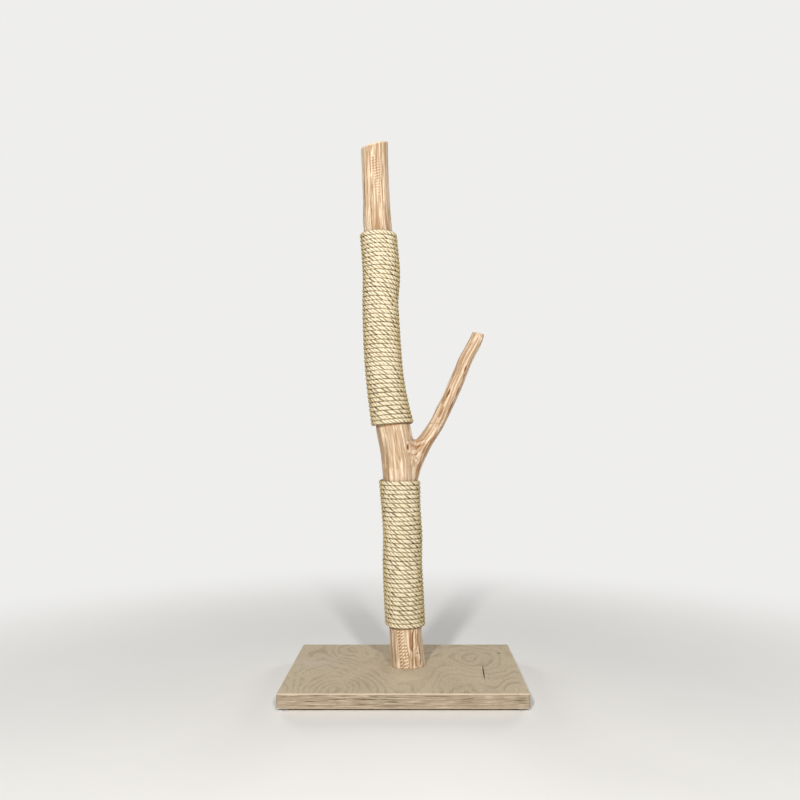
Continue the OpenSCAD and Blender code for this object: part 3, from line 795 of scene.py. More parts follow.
def make_timber(s, material):
    """One closed skin of trunk and branch. Level rings climb to the fork, where an arch of
    points over the crotch splits them in two tubes, and each ends in a sawn face. Each tube
    starts with rows in even steps up to an even ring, and the points round the fork settle
    where the field is 0. Then the skin's points, except the foot's edge, move along its
    normals by the relief."""
    timber = Timber(s)
    split = np.array([SPLIT])
    levels = np.linspace(0.46, 0.54, 801)
    x, y = dividing_plane(timber, levels)
    crown = levels[np.argmax(timber.field(np.stack([x, y, levels], -1)) > 0)]
    turn = np.linspace(-np.pi / 2, np.pi / 2, ARCH_STEPS + 1)[1:-1]
    climb = SPLIT + (crown - SPLIT) * np.cos(turn)
    arch = np.where(
        turn[:, None] < 0, outline(timber, climb, -1), outline(timber, climb, 1))
    ends = np.concatenate([outline(timber, split, 1), outline(timber, split, -1)])
    ends = ends[:, :2] - timber.middle(split)[0]
    back, front = np.arctan2(ends[:, 1], ends[:, 0])
    trunk_angles = np.linspace(back, front + TURN, TRUNK_POINTS + 1)[:-1]
    angles = np.concatenate([
        trunk_angles, np.linspace(front, back, BRANCH_POINTS + 1)[:-1]])

    def ring(h, angles, slant=0.0):
        """A closed row of points on the trunk, level or on a slanting plane."""
        level = np.full(len(angles), h)
        return timber.skin(level + slant * timber.cut(level, angles), angles)

    sheaf = Sheaf()
    rows = [ring(h, angles) for h in heights(
        0.0, (FOOT_TOP, 0.001), (0.400, 0.012), (0.414, 0.001), (SPLIT, 0.0015))]
    rows = [row if row[0, 2] < SWELL_FROM else swell(timber, row) for row in rows]
    foot = sheaf.add(rows[0])
    ids = sheaf.add_rows(foot, np.array(rows[1:]))
    crown_ids = sheaf.add(arch)

    # The trunk's tube, from the split ring and the arch up to its top cut
    first = np.concatenate([ids[-1][:TRUNK_POINTS + 1], crown_ids])
    around = np.concatenate([trunk_angles, np.linspace(front, back, ARCH_STEPS + 1)[:-1]])
    trunk_rows = sheaf.loft(first, ring(TRUNK_CLEAR, around), LOFT_ROWS)
    top = heights(TRUNK_CLEAR, (0.946, 0.012), (s.height - 0.006, 0.0015),
                  (s.height - CUT_EDGE, 0.001))[1:]
    slant = ease((top - s.height + 0.07) / 0.07)
    rows = np.array([ring(h, around, a) for h, a in zip(top, slant)])
    top_rows = sheaf.add_rows(trunk_rows[-1], rows)

    # The branch's tube, from the split ring's other part and the arch to its tip
    first = np.concatenate([ids[-1][TRUNK_POINTS:], ids[-1][:1], crown_ids[::-1]])
    count = BRANCH_POINTS + ARCH_STEPS
    turn = (np.arange(count) / count - BRANCH_POINTS / count / 2) * TURN

    def branch_ring(h, slant=0.0):
        """A level or slanting ellipse round the branch's line."""
        x, y = timber.branch_middle(np.array([h]))[0]
        r = timber.branch_radius(np.array([h]))[0]
        side = r * timber.stretch * np.cos(turn)
        return np.stack([
            x + side, y + r * np.sin(turn), h - slant * side * np.tan(s.tip_fall)], -1)

    branch_rows = sheaf.loft(first, branch_ring(BRANCH_CLEAR), LOFT_ROWS)
    tip = s.fork_height + s.branch_rise
    up = heights(BRANCH_CLEAR, (tip - CUT_EDGE, 0.0014))[1:]
    slant = ease((up - tip + 0.03) / 0.03)
    rows = np.array([branch_ring(h, a) for h, a in zip(up, slant)])
    tip_rows = sheaf.add_rows(branch_rows[-1], rows)

    # The points round the fork settle on the skin and are evened out
    free = np.zeros(len(sheaf.points), bool)
    for part in (ids[-16:], crown_ids, trunk_rows[:-3], branch_rows[:-3]):
        free[part.ravel()] = True
    sheaf.points[free] = timber.settle(sheaf.points[free], 8)
    relax(sheaf, free, timber, 24)

    # Relief along the skin's normals, except at the foot's edge
    skin = sheaf.points.copy()
    relief, dark, pale, rose = carve(timber, skin, timber.grain(skin))
    edges = np.ones(len(skin))
    edges[foot] = 0.0
    sheaf.points = skin + unit(timber.slope(skin)) * (relief * edges)[:, None]

    # Sawn faces at the top, the tip and the foot
    cut = np.array([s.height])
    up = unit(np.array([-np.tan(s.cut_rise), -np.tan(s.cut_back), 1.0]))
    top_face = cut_face(sheaf, top_rows[-1], np.append(timber.middle(cut)[0], cut), up, 22)
    cut = np.array([tip])
    up = unit(np.array([np.tan(s.tip_fall), 0.0, 1.0]))
    centre = np.append(timber.branch_middle(cut)[0], cut)
    tip_face = cut_face(sheaf, tip_rows[-1], centre, up, 12)
    middle = np.append(timber.middle(np.array([0.0]))[0], 0.0)
    inner = [middle + (sheaf.points[foot] - middle) * share for share in (0.9, 0.6, 0.3)]
    under = sheaf.add(np.concatenate(inner)).reshape(3, -1)
    sheaf.fours.append(grid_faces(np.concatenate([foot[None], under]))[:, ::-1])
    pole = sheaf.add(middle[None])
    sheaf.threes.append(fan_faces(under[-1], pole[0])[:, ::-1])
    faces = np.concatenate([top_face, tip_face, under.ravel(), pole])

    count = len(sheaf.points)
    sawn = np.zeros(count)
    sawn[faces] = 1.0
    flat = sheaf.points[faces]
    rough = noise(flat / [0.004, 0.0012, 0.004], 31) + noise(flat / 0.0025, 32)
    sheaf.points[faces, 2] += 0.06 * MM * rough * (flat[:, 2] > 0.1)

    def full(values):
        """Values with nothing added on the sawn faces."""
        return np.concatenate([values, np.zeros(count - len(values))])

    return make_piece(
        "trunk_wood", sheaf.points + [0, 0, timber.floor], np.concatenate(sheaf.fours),
        np.concatenate(sheaf.threes), material, ["trunk"],
        {"grain": timber.grain(sheaf.points), "dark": full(dark), "pale": full(pale),
         "rose": full(rose), "sawn": sawn, "relief": full(relief) / MM})


# ---------------------------------------------------------------- rope


# Points on a turn of the winding's line before it is evened out, and in each straight tail
TURN_STEPS, TAIL_STEPS = 240, 9
# How far the line wobbles up and down, and how near its middle comes to the branch's skin
WOBBLE, BRANCH_ROOM = 0.00022, 0.0044
# Sides of a strand, and shares of the rope's width: its middle's way out and its radius
SIDES, STRAND_OUT, STRAND_RADIUS = 12, 0.255, 0.246
# Radians that the fibres turn round their strand in a metre
FIBRE_TWIST = 230.0
# Points along a loose fibre, and its radius at the root
HAIR_POINTS, HAIR_RADIUS = 6, 0.00011


def winding_line(timber, s, start, end, turns, tilt):
    """The line of a left-handed winding, from its lower end at the back to its upper end.
    Its height grows evenly with the angle, each ring lies nearly square to the trunk, and its
    front is raised by a share of the two tilts. Where the branch crowds it, it moves out. A
    straight tail runs on at both ends. Points lie 1 mm apart. Returns the length up to each
    point, the points and the ways out from the trunk."""
    t = np.linspace(0, turns, turns * TURN_STEPS + 1)
    angle = TURN / 4 - TURN * t
    h = start + s.edge + (end - start - 2 * s.edge) * t / turns
    wobble = ease(np.minimum(t, turns - t))
    h = h + wobble * WOBBLE * line_noise(t / 0.35, 41)
    front = (1 - np.sin(angle)) / 2
    raised = front * (tilt[0] + (tilt[1] - tilt[0]) * t / turns)
    line = timber.skin(h + timber.lift(h, angle) + raised, angle, s.out)
    out = np.stack([np.cos(angle), np.sin(angle), 0 * angle], -1)
    line += out * np.maximum(BRANCH_ROOM - timber.gaps(line)[1], 0)[:, None]
    run = np.linspace(0, s.tail, TAIL_STEPS + 1)[1:, None]
    head = line[:1] + unit(line[:1] - line[1:2]) * run[::-1]
    foot = line[-1:] + unit(line[-1:] - line[-2:-1]) * run
    line = np.concatenate([head, line, foot])
    out = np.concatenate([
        np.repeat(out[:1], TAIL_STEPS, 0), out, np.repeat(out[-1:], TAIL_STEPS, 0)])
    reach = np.append(0, np.cumsum(np.linalg.norm(np.diff(line, axis=0), axis=1)))
    even = np.linspace(0, reach[-1], int(reach[-1] / MM) + 1)
    line, out = (np.stack([np.interp(even, reach, v[:, k]) for k in range(3)], -1)
                 for v in (line, out))
    return even, line, out


def strand(even, line, out, s, number, seed):
    """One strand: a helix at a share of the rope's width from the rope's line, whose turn grows
    with the length, and a ring of points round it at every second step, whose radius noise
    makes uneven as yarns do. Returns points, faces and values for the material."""
    along = unit(np.gradient(line, axis=0))
    out = unit_across(out, along)
    up = np.cross(along, out)
    turn = TURN * (even / s.lay + number / 3) + 0.5 * line_noise(even / 0.06, seed)
    path = line + s.width * STRAND_OUT * turned(turn, out, up)
    pick = np.arange(0, len(even), 2)
    if pick[-1] != len(even) - 1:
        pick = np.append(pick, len(even) - 1)
    forward = unit(np.gradient(path, axis=0))[pick]
    away = unit_across(unit(path - line)[pick], forward)
    side = np.cross(forward, away)
    even, path, middle, out, up = even[pick], path[pick], line[pick], out[pick], up[pick]
    beta = TURN * np.arange(SIDES) / SIDES
    yarn = noise(np.stack([
        np.repeat(even, SIDES) / 0.009, np.tile(np.cos(beta) * 1.6, len(even)),
        np.tile(np.sin(beta) * 1.6, len(even))], -1), seed + 50).reshape(-1, SIDES)
    thick = s.width * STRAND_RADIUS * (1 + 0.05 * yarn)
    # The ends are rounded off
    ends = np.clip(np.minimum(even, even[-1] - even) / 0.0012, 0, 1)
    thick *= np.sqrt(np.clip(1 - (1 - ends) ** 2, 0.04, 1))[:, None]
    points = path[:, None] + thick[..., None] * turned(beta, away[:, None], side[:, None])
    ids = np.arange(thick.size).reshape(-1, SIDES)
    threes = np.concatenate([
        fan_faces(ids[0], ids.size)[:, ::-1], fan_faces(ids[-1], ids.size + 1)])
    twist = even[:, None] * FIBRE_TWIST + beta
    fibre = np.stack([
        thick * np.cos(twist), thick * np.sin(twist), np.repeat(even[:, None], SIDES, 1)], -1)
    # How deep a point lies in the gap beside the strands or between two turns, which sets the
    # painted shade there, and how strong the painted highlight is on the crown where a strand
    # stands out
    gap = (points - middle[:, None]) / (s.width / 2)
    rise = (gap * up[:, None]).sum(-1)
    far = (gap * out[:, None]).sum(-1)
    rim = np.linalg.norm(gap, axis=-1)
    uneven = line_noise(even / 0.05, seed - number)[:, None]
    rows = ease((np.abs(rise) - 0.60 + 0.12 * uneven) / 0.30) * ease(1.15 - far)
    deep = np.maximum(0.85 * ease((0.92 - rim) / 0.32), rows)
    rubbed = ease((rim - 0.84) / 0.14) * ease(far * 1.8 - 0.4)
    # The front and the back are painted paler, as painted light, and the sides darker, as painted
    # shade
    bleached = bell(np.abs(out[:, 1:2]) - 1, 0.46) + 0 * rim
    points = points + s.press * s.width / 2 * rise[..., None] * up[:, None]
    points = np.concatenate([points.reshape(-1, 3), path[:1], path[-1:]])
    values = {"fibre": np.concatenate([fibre.reshape(-1, 3), np.zeros((2, 3))]),
              "tone": np.full(len(points), number / 2.0)}
    for key, value, at_ends in (
            ("deep", deep, 0.5), ("rubbed", rubbed, 0.0), ("bleached", bleached, 0.0)):
        values[key] = np.append(value.ravel(), [at_ends, at_ends])
    return points, grid_faces(ids), threes, values


def make_winding(name, timber, s, start, end, turns, tilt, seed, material):
    """Three strands laid right-handed along a winding's line."""
    even, line, out = winding_line(timber, s, start, end, turns, tilt)
    line = line + [0, 0, timber.floor]
    for number in range(3):
        points, fours, threes, values = strand(even, line, out, s, number, seed + number)
        make_piece(
            "%s_strand_%d" % (name, number + 1), points, fours, threes, material,
            [name], values)
    return line, out


def make_hairs(name, line, out, s, seed, material):
    """Loose fibres: thin three-sided tubes, a few of them at the winding's two ends. At a
    share of its length a fibre has gone that share along the rope, its rise times the share
    to the power of 1.8 outwards, and its sweep times the share squared sideways."""
    random = np.random.default_rng(seed)
    count = s.hairs
    at = random.integers(5, len(line) - 5, count)
    ends = random.integers(0, 10, count // 12)
    at[:len(ends)] = np.where(np.arange(len(ends)) % 2, ends, len(line) - 1 - ends)
    along = unit(np.gradient(line, axis=0))[at]
    outward = unit_across(out[at], along)
    away = turned(random.normal(0, 0.75, count), outward, np.cross(along, outward))
    side = np.cross(along, away)
    sign = random.choice([-1.0, 1.0], count)[:, None]
    length = random.uniform(0.004, 0.013, count)[:, None, None]
    rise = random.uniform(0.08, 0.42, count)[:, None, None]
    sweep = random.normal(0, 0.45, count)[:, None, None]
    steps = np.linspace(0, 1, HAIR_POINTS)[None, :, None]
    path = (line[at] + away * s.width * 0.47)[:, None] + length * (
        steps * (along * sign)[:, None] + rise * steps ** 1.8 * away[:, None]
        + sweep * steps ** 2 * side[:, None])
    forward = unit(np.gradient(path, axis=1))
    first = unit(np.cross(forward, away[:, None] + 0.01))
    second = np.cross(forward, first)
    thick = HAIR_RADIUS * (1 - 0.75 * steps[..., None])
    points = path[:, :, None] + thick * turned(
        TURN * np.arange(3) / 3, first[:, :, None], second[:, :, None])
    ids = np.arange(points[..., 0].size).reshape(count, HAIR_POINTS, 3)
    threes = np.concatenate([ids[:, 0, ::-1], ids[:, -1]])
    values = np.repeat(random.random(count), 3 * HAIR_POINTS)
    fibre = np.stack([values, values, np.tile(np.repeat(steps.ravel(), 3), count)], -1)
    return make_piece(
        name + "_hairs", points.reshape(-1, 3), grid_faces(ids), threes, material, [name],
        {"fibre": fibre * 0.01, "deep": 0 * values, "rubbed": 0 * values,
         "bleached": 0.5 + 0 * values, "tone": values})


# ---------------------------------------------------------------- materials


class Value:
    """An output in a node tree. Sums are written with it as with a number."""

    def __init__(self, nodes, socket):
        self.nodes = nodes
        self.socket = socket

    def __add__(self, other):
        return self.nodes.math("ADD", self, other)

    def __sub__(self, other):
        return self.nodes.math("SUBTRACT", self, other)

    def __rsub__(self, other):
        return self.nodes.math("SUBTRACT", other, self)

    def __mul__(self, other):
        return self.nodes.math("MULTIPLY", self, other)

    def __truediv__(self, other):
        return self.nodes.math("DIVIDE", self, other)

    def __abs__(self):
        return self.nodes.math("ABSOLUTE", self)

    def clamped(self):
        """The same sum, kept from 0 to 1."""
        self.socket.node.use_clamp = True
        return self


class Nodes:
    """Short ways to add nodes to a material or a world and join them."""

    def __init__(self, owner):
        owner.use_nodes = True
        self.owner = owner
        self.tree = owner.node_tree

    def add(self, kind, inputs, output=0, **settings):
        """A new node's output, with values or other outputs at the node's inputs."""
        node = self.tree.nodes.new(kind)
        for key, value in settings.items():
            setattr(node, key, value)
        for key, value in inputs.items():
            self.put(node.inputs[key], value)
        return Value(self, node.outputs[output])

    def put(self, socket, value):
        """Joins an output to an input, or sets the number, vector or colour there."""
        value = getattr(value, "socket", value)
        if isinstance(value, bpy.types.NodeSocket):
            self.tree.links.new(value, socket)
        elif hasattr(value, "__len__"):
            socket.default_value = list(value) + [1.0] * (socket.type == "RGBA")
        else:
            socket.default_value = value

    def read(self, key, output="Fac"):
        """An attribute of the mesh."""
        return self.add("ShaderNodeAttribute", {}, output, attribute_name=key)

    def place(self, output="Object"):
        """The place in the object's own coordinates, or its normal."""
        return self.add("ShaderNodeTexCoord", {}, output)

    def split(self, vector):
        """X, Y and Z of a vector."""
        first = self.add("ShaderNodeSeparateXYZ", {"Vector": vector})
        return [Value(self, socket) for socket in first.socket.node.outputs]

    def noise(self, vector, scale, detail=3.0, roughness=0.55, distortion=0.0,
              move=(0, 0, 0), turn=(0, 0, 0)):
        """Noise at one scale, or drawn out by a scale for each axis."""
        if hasattr(scale, "__len__"):
            vector = self.add("ShaderNodeMapping", {
                "Vector": vector, "Location": move, "Rotation": turn, "Scale": scale})
            scale = 1.0
        return self.add("ShaderNodeTexNoise", {
            "Vector": vector, "Scale": scale, "Detail": detail, "Roughness": roughness,
            "Distortion": distortion}, "Fac")

    def math(self, kind, a, b=0.0):
        """A sum of one or two numbers."""
        return self.add("ShaderNodeMath", {0: a, 1: b}, operation=kind)

    def range(self, value, low, high, to_low=0.0, to_high=1.0, kind="SMOOTHSTEP"):
        """A value's way from one number to another, eased, between two other numbers."""
        return self.add("ShaderNodeMapRange", {
            "Value": value, "From Min": low, "From Max": high, "To Min": to_low,
            "To Max": to_high}, interpolation_type=kind)

    def mix(self, share, a, b):
        """One colour with a share of a second."""
        return self.add("ShaderNodeMix", {0: share, 6: a, 7: b}, 2, data_type="RGBA")

    def layers(self, colour, *rows):
        """Lays tones over a colour in turn. Each comes in where a value goes from the first
        number to the second, up to a share."""
        for value, none, full, share, tone in rows:
            colour = self.mix(self.range(value, none, full, 0.0, share), colour, tone)
        return colour

    def seen_directly(self):
        """1 for rays from the camera, mirrors and glass, and 0 for the light on the object."""
        path = self.add("ShaderNodeLightPath", {}).socket.node.outputs
        seen = path["Is Camera Ray"]
        for name in ("Is Glossy Ray", "Is Transmission Ray"):
            seen = self.math("MAXIMUM", seen, path[name])
        return seen

    def finish(self, colour, roughness, height, strength, distance, specular=0.5, sheen=0.0,
               metallic=0.0):
        """The material, with its shader's inputs and a bump of a strength and a distance."""
        shader = self.tree.nodes["Principled BSDF"]
        bump = self.add("ShaderNodeBump", {
            "Strength": strength, "Distance": distance, "Height": height})
        for name, value in (
            ("Base Color", colour), ("Roughness", roughness), ("Normal", bump),
            ("Specular IOR Level", specular), ("Sheen Weight", sheen), ("Metallic", metallic),
        ):
            self.put(shader.inputs[name], value)
        return self.owner


def new_material(name):
    """The nodes of a new material."""
    return Nodes(bpy.data.materials.new(name))


def wood_material(s):
    """Peeled hardwood: tan and cream streaks along the grain, rosy parts, dark cracks and
    knots, and growth rings with small checks on the sawn faces."""
    n = new_material("peeled wood")
    grain = n.read("grain", "Vector")
    drift = n.noise(grain, (60, 60, 9), 2.0)
    bent = n.add("ShaderNodeVectorMath", {
        0: n.add("ShaderNodeCombineXYZ", {"X": drift, "Y": drift}),
        1: (0.0025, 0.0025, 0.0), 2: grain}, operation="MULTIPLY_ADD")
    broad = n.noise(bent, (290, 290, 6), 2.0, 0.5)
    thin = n.noise(bent, (420, 420, 9), 4.0, 0.6, move=(3, 1, 2))
    hair = n.noise(bent, (1700, 1700, 45), 3.0, 0.6, move=(9, 4, 1))
    pores = n.noise(bent, (2600, 2600, 160), 2.0, 0.5, move=(2, 8, 5))
    fibres = n.noise(bent, (430, 430, 8), 2.0, 0.5, move=(7, 7, 1))
    light = n.range(broad + (thin - 0.5) * 1.1, 0.42, 0.63)
    patches = n.range(n.noise(n.place(), 9.0, 2.0), 0.45, 0.62)
    rosy = n.math("MAXIMUM", patches * 0.35, n.read("rose") * 0.65)
    colour = n.mix(rosy, n.mix(light, s.tan, s.cream),
                   n.mix(light, s.rose, (0.650, 0.504, 0.402)))
    # The carved pale lines and streaks, broken by fibres where they aren't strong, which carry
    # painted light on the foot, the crotch and the tool marks' crests too
    pale = n.read("pale")
    unbroken = n.math("MAXIMUM", n.range(fibres, 0.40, 0.57, 0.25, 1.0),
                      n.range(pale, 0.80, 0.98))
    colour = n.mix(pale * unbroken, colour, s.pith)
    dark = (n.read("dark") * n.range(hair, 0.2, 0.7, 1.0, 0.8)).clamped()
    colour = n.layers(
        colour,
        # Painted shade: recessed wood turns darker in its hollows
        (n.read("relief"), -0.15, -0.9, 0.22, (0.37, 0.215, 0.105)),
        (thin, 0.46, 0.30, 0.45, (0.37, 0.225, 0.12)),
        (hair, 0.62, 0.40, 0.32, (0.36, 0.19, 0.075)),
        (pores, 0.36, 0.28, 0.5, (0.26, 0.13, 0.05)),
        # The dark marks: cracks and knots, and also the painted shadows under the windings and the
        # tool marks' painted troughs
        (dark, 0.0, 0.62, 1.0, (0.315, 0.165, 0.072)),
        (dark, 0.5, 1.0, 1.0, s.bark))
    # The sawn faces: growth rings round the heart, and pale specks
    x, y, _ = n.split(bent)
    reach = n.math("SQRT", x * x + y * y)
    ring = n.math("FRACT", (reach + n.noise(grain, 60.0, 2.0) * 0.003) * 430.0)
    ends = n.mix(n.range(reach, 0.003, 0.02), (0.42, 0.22, 0.09), (0.74, 0.54, 0.33))
    ends = n.layers(
        ends, (ring, 0.55, 0.95, 0.5, (0.45, 0.25, 0.11)),
        (n.noise(n.place(), 900.0), 0.45, 0.65, 0.35, (0.90, 0.72, 0.48)))
    colour = n.mix(n.read("sawn"), colour, ends)
    return n.finish(
        colour, n.range(hair, 0.3, 0.7, 0.72, 0.58), hair * 0.6 + thin * 0.7 + pores * 0.3,
        0.7, 0.0006, specular=0.2)


def sisal_material(s):
    """Twisted sisal: fine fibres along the yarns, pale and straw-coloured, with a painted
    highlight on the strands' crowns, painted light on the front and back, painted shade at the
    sides, and painted shade in the gaps between strands and turns."""
    n = new_material("sisal rope")
    fibre = n.read("fibre", "Vector")
    fine = n.noise(fibre, (3600, 3600, 95), 3.0, 0.6)
    yarn = n.noise(fibre, (1100, 1100, 40), 2.0, 0.5, move=(4, 2, 7))
    broken = n.noise(fibre, (480, 480, 150), 2.0, 0.5, move=(1, 5, 2))
    patches = n.noise(n.place(), 22.0)
    light = (fine * 0.8 + yarn * 0.6 + patches * 0.35 + broken * 1.2
             + n.read("tone") * 0.12)
    # Fibre lightness, raised on the strands' crowns by a painted highlight
    light = (n.range(light, 1.22, 1.72) + n.read("rubbed") * 0.45).clamped()
    colour = n.layers(
        n.mix(light, s.straw, s.pale),
        (fine, 0.42, 0.28, 0.55, (0.50, 0.36, 0.15)),
        (n.noise(n.place(), 55.0, 2.0), 0.58, 0.72, 0.30, (0.60, 0.56, 0.26)),
        # Painted shade: the rope's sides turn a darker olive, away from the painted light on its
        # front and back
        (n.read("bleached"), 1.0, 0.0, 0.68, (0.49, 0.365, 0.135)))
    # Painted shade in the gaps between strands and turns
    colour = n.mix((n.read("deep") * 0.84).clamped(), colour, s.deep)
    return n.finish(
        colour, n.range(fine, 0.3, 0.7, 0.92, 0.76), fine * 0.6 + yarn * 0.8, 0.9, 0.0007,
        specular=0.12, sheen=0.03)


# Hills and hollows in the field whose contour lines are the board's figure: middle, width and
# depth in metres, and height
HILLS = (
    ((-0.145, -0.18), 0.062, 0.125, 0.60), ((0.135, 0.06), 0.08, 0.10, -0.30),
    ((-0.13, 0.14), 0.09, 0.10, -0.26), ((0.03, -0.12), 0.07, 0.14, -0.16),
    ((0.20, -0.15), 0.06, 0.09, 0.22),
)
# A greyer band at the left, a browner one through the middle and a paler place in front:
# middle, width, depth, strength and tone
TONED_PLACES = (
    ((-0.20, 0.03), 0.055, 0.030, 0.34, (0.63, 0.575, 0.485)),
    ((-0.02, 0.036), 0.13, 0.028, 0.30, (0.38, 0.29, 0.18)),
    ((0.0, -0.085), 0.09, 0.050, 0.28, (0.72, 0.61, 0.455)),
)
BOARD_KNOT = ((0.2195, 0.115), 0.006, 0.010, 1.0)
# Open gaps in the front edge: millimetres under the top, and both ends in metres
OPEN_GAPS = (
    (11.4, -0.146, -0.108), (11.3, -0.098, -0.052), (5.0, -0.068, -0.050),
    (5.2, 0.044, 0.090), (11.6, -0.046, -0.020),
)


def birch_material(s, low, high):
    """Birch plywood: a face veneer with cathedral figure that runs front to back, a split and
    a small knot in it, and edges of thin veneers with glue lines and a few open gaps."""
    n = new_material("birch plywood")
    place = n.place()
    x, y, z = n.split(place)
    up = n.split(n.place("Normal"))[2]
    face = n.range(abs(up), 0.80, 0.95)
    upper = n.range(up, 0.0, 0.8)

    def hill(centre, width, depth, tall):
        """A bell curve on the face: a height times e to the power of minus the sum of the
        squares of both distances, over the width and the depth."""
        dx = (x - centre[0]) / width
        dy = (y - centre[1]) / depth
        return n.math("EXPONENT", (dx * dx + dy * dy) * -1.0) * tall

    # The face: contour lines of a smooth field, drawn out front to back
    field = n.noise(place, (8.5, 3.4, 0), 2.0, 0.42, 0.3, move=(0.7, 0.2, 0)) * 0.75
    for row in HILLS:
        field = field + upper * hill(*row)
    field = field + n.noise(place, (60, 22, 0)) * 0.035
    line = n.math("FRACT", field * 11.0)
    line = n.range(line, 0.42, 0.86) * n.range(line, 1.0, 0.92)
    broken = n.noise(place, (26, 18, 0), move=(2, 9, 0))
    line = line * n.range(broken, 0.34, 0.60, 0.15, 1.0)
    wide = n.noise(place, (14, 5, 0), move=(5, 3, 0))
    fleck = n.noise(place, (1500, 170, 100), 3.0, 0.6)
    fine = n.noise(place, (520, 48, 30), 4.0, 0.6, move=(1, 6, 0))
    top = n.layers(
        n.mix(line * 0.62, s.veneer, s.figure),
        (wide, 0.40, 0.66, 0.36, (0.60, 0.50, 0.34)),
        (fine, 0.47, 0.32, 0.50, (0.345, 0.27, 0.178)),
        (fine, 0.54, 0.68, 0.45, (0.69, 0.60, 0.46)),
        (fleck, 0.38, 0.27, 0.60, (0.25, 0.19, 0.115)))
    for *row, tone in TONED_PLACES:
        top = n.mix(hill(*row) * upper, top, tone)
    # A split, widest at the middle of its run, and a small knot
    along = n.range(y, -0.108, 0.014, kind="LINEAR")
    off = abs(x - (along * 0.0049 + 0.1680))
    slit = n.range(off - along * (1.0 - along) * 0.0062, 0.0002, -0.0003) * upper
    knot = n.range(hill(*BOARD_KNOT), 0.25, 0.75) * upper
    top = n.mix(knot * 0.65, top, (0.22, 0.20, 0.10))
    top = n.mix(slit, top, (0.035, 0.025, 0.015))

    # The edges: veneers one over the other, alternately end grain and long grain
    ply = (z - low.z) * (s.plies / (high.z - low.z))
    ply = ply + (n.noise(place, (9, 9, 30), 2.0) - 0.5) * 0.5
    layer = n.math("FLOOR", ply)
    within = n.math("FRACT", ply)
    odd = n.math("MODULO", layer, 2.0)
    glue = (n.range(within, 0.10, 0.0) + n.range(within, 0.92, 1.0)).clamped()
    spots = n.noise(place, (420, 420, 700), 3.0, 0.6)
    long_grain = n.noise(place, (30, 30, 1400), 3.0, 0.6, move=(0, 0, 3))
    band = n.noise(place, (20, 20, 430), 3.0, 0.55, move=(4, 0, 7))
    own = n.add("ShaderNodeTexWhiteNoise", {"W": layer}, noise_dimensions="1D")
    side = n.mix(own * 0.75, s.edge, (0.46, 0.375, 0.275))
    side = n.mix(odd * n.range(spots, 0.35, 0.70, 0.0, 0.55), side, (0.31, 0.215, 0.135))
    side = n.layers(
        side, (long_grain, 0.50, 0.34, 0.60, (0.19, 0.13, 0.08)),
        (band, 0.46, 0.35, 0.85, (0.14, 0.10, 0.062)),
        (band, 0.54, 0.65, 0.75, (0.62, 0.52, 0.40)))
    side = n.mix(glue * 0.50, side, (0.17, 0.11, 0.065))
    # Painted highlights in thin bands along the top and bottom of the edges
    painted_edge_highlight = (n.range(z, high.z - 0.0032, high.z - 0.0014)
             + n.range(z, low.z + 0.0028, low.z + 0.0014))
    side = n.mix(painted_edge_highlight * 0.75, side, (0.66, 0.55, 0.42))
    # Open gaps, along the front edge and here and there on the others
    gaps = n.noise(place, (24, 24, 0.1), 1.0, move=(2, 0, 0))
    torn = n.range(gaps, 0.66, 0.69) * n.math("GREATER_THAN", own, 0.80)
    ragged = n.noise(place, (160, 0, 0)) * 0.0011
    for depth, start, end in OPEN_GAPS:
        beside = abs(z - (high.z - depth * MM))
        mark = n.range(x, start - 0.004, start + 0.006) * n.range(x, end + 0.004, end - 0.006)
        mark = mark * n.range(beside + ragged, 0.0012, 0.0008) * n.math("LESS_THAN", y, 0.0)
        torn = n.math("MAXIMUM", torn, mark)
    torn = torn * n.range(within, 0.02, 0.18)
    side = n.mix(torn * 0.85, side, (0.055, 0.035, 0.02))
    # Painted highlights on the rounded arrises
    painted_arris_highlight = n.range(abs(abs(up) - 0.6), 0.35, 0.05)
    colour = n.mix(painted_arris_highlight * 0.75, n.mix(face, side, top), (0.72, 0.60, 0.44))
    height = (fine * 0.25 + fleck * 0.25 - slit * face * 3.0
              - (torn * 3.0 + glue * 0.4) * (1.0 - face))
    return n.finish(
        colour, n.range(fine, 0.3, 0.7, 0.74, 0.60), height, 0.55, 0.0005,
        specular=0.15)


def zinc_material():
    """Zinc plating: bright grey with faint spangle, fine drawing lines and dull spots."""
    n = new_material("zinc plated steel")
    place = n.place()
    cloud = n.noise(place, 420.0, 4.0, 0.6)
    lines = n.noise(place, (2500, 2500, 240))
    spots = n.noise(place, 1600.0, 2.0)
    colour = n.mix(n.range(cloud, 0.35, 0.65), (0.50, 0.51, 0.53), (0.68, 0.69, 0.70))
    colour = n.layers(colour, (spots, 0.64, 0.72, 0.5, (0.34, 0.32, 0.29)))
    return n.finish(
        colour, n.range(cloud, 0.3, 0.7, 0.30, 0.46), lines + spots * 0.5, 0.25, 0.0002,
        metallic=1.0)


def glide_material():
    """Grey moulded plastic with a fine eroded grain and scuffs underneath."""
    n = new_material("glide plastic")
    place = n.place()
    grain = n.noise(place, 2200.0, 3.0, 0.6)
    scuff = n.noise(place, (900, 160, 400), 3.0, 0.7, turn=(0, 0, 0.6))
    worn = n.range(n.split(place)[2], 0.0022, 0.0002) * n.range(scuff, 0.45, 0.65)
    colour = n.mix(n.range(grain, 0.35, 0.65), (0.20, 0.215, 0.23), (0.27, 0.285, 0.30))
    colour = n.mix(worn * 0.6, colour, (0.42, 0.42, 0.41))
    return n.finish(colour, n.range(scuff, 0.3, 0.7, 0.42, 0.58), grain, 0.4, 0.0002)


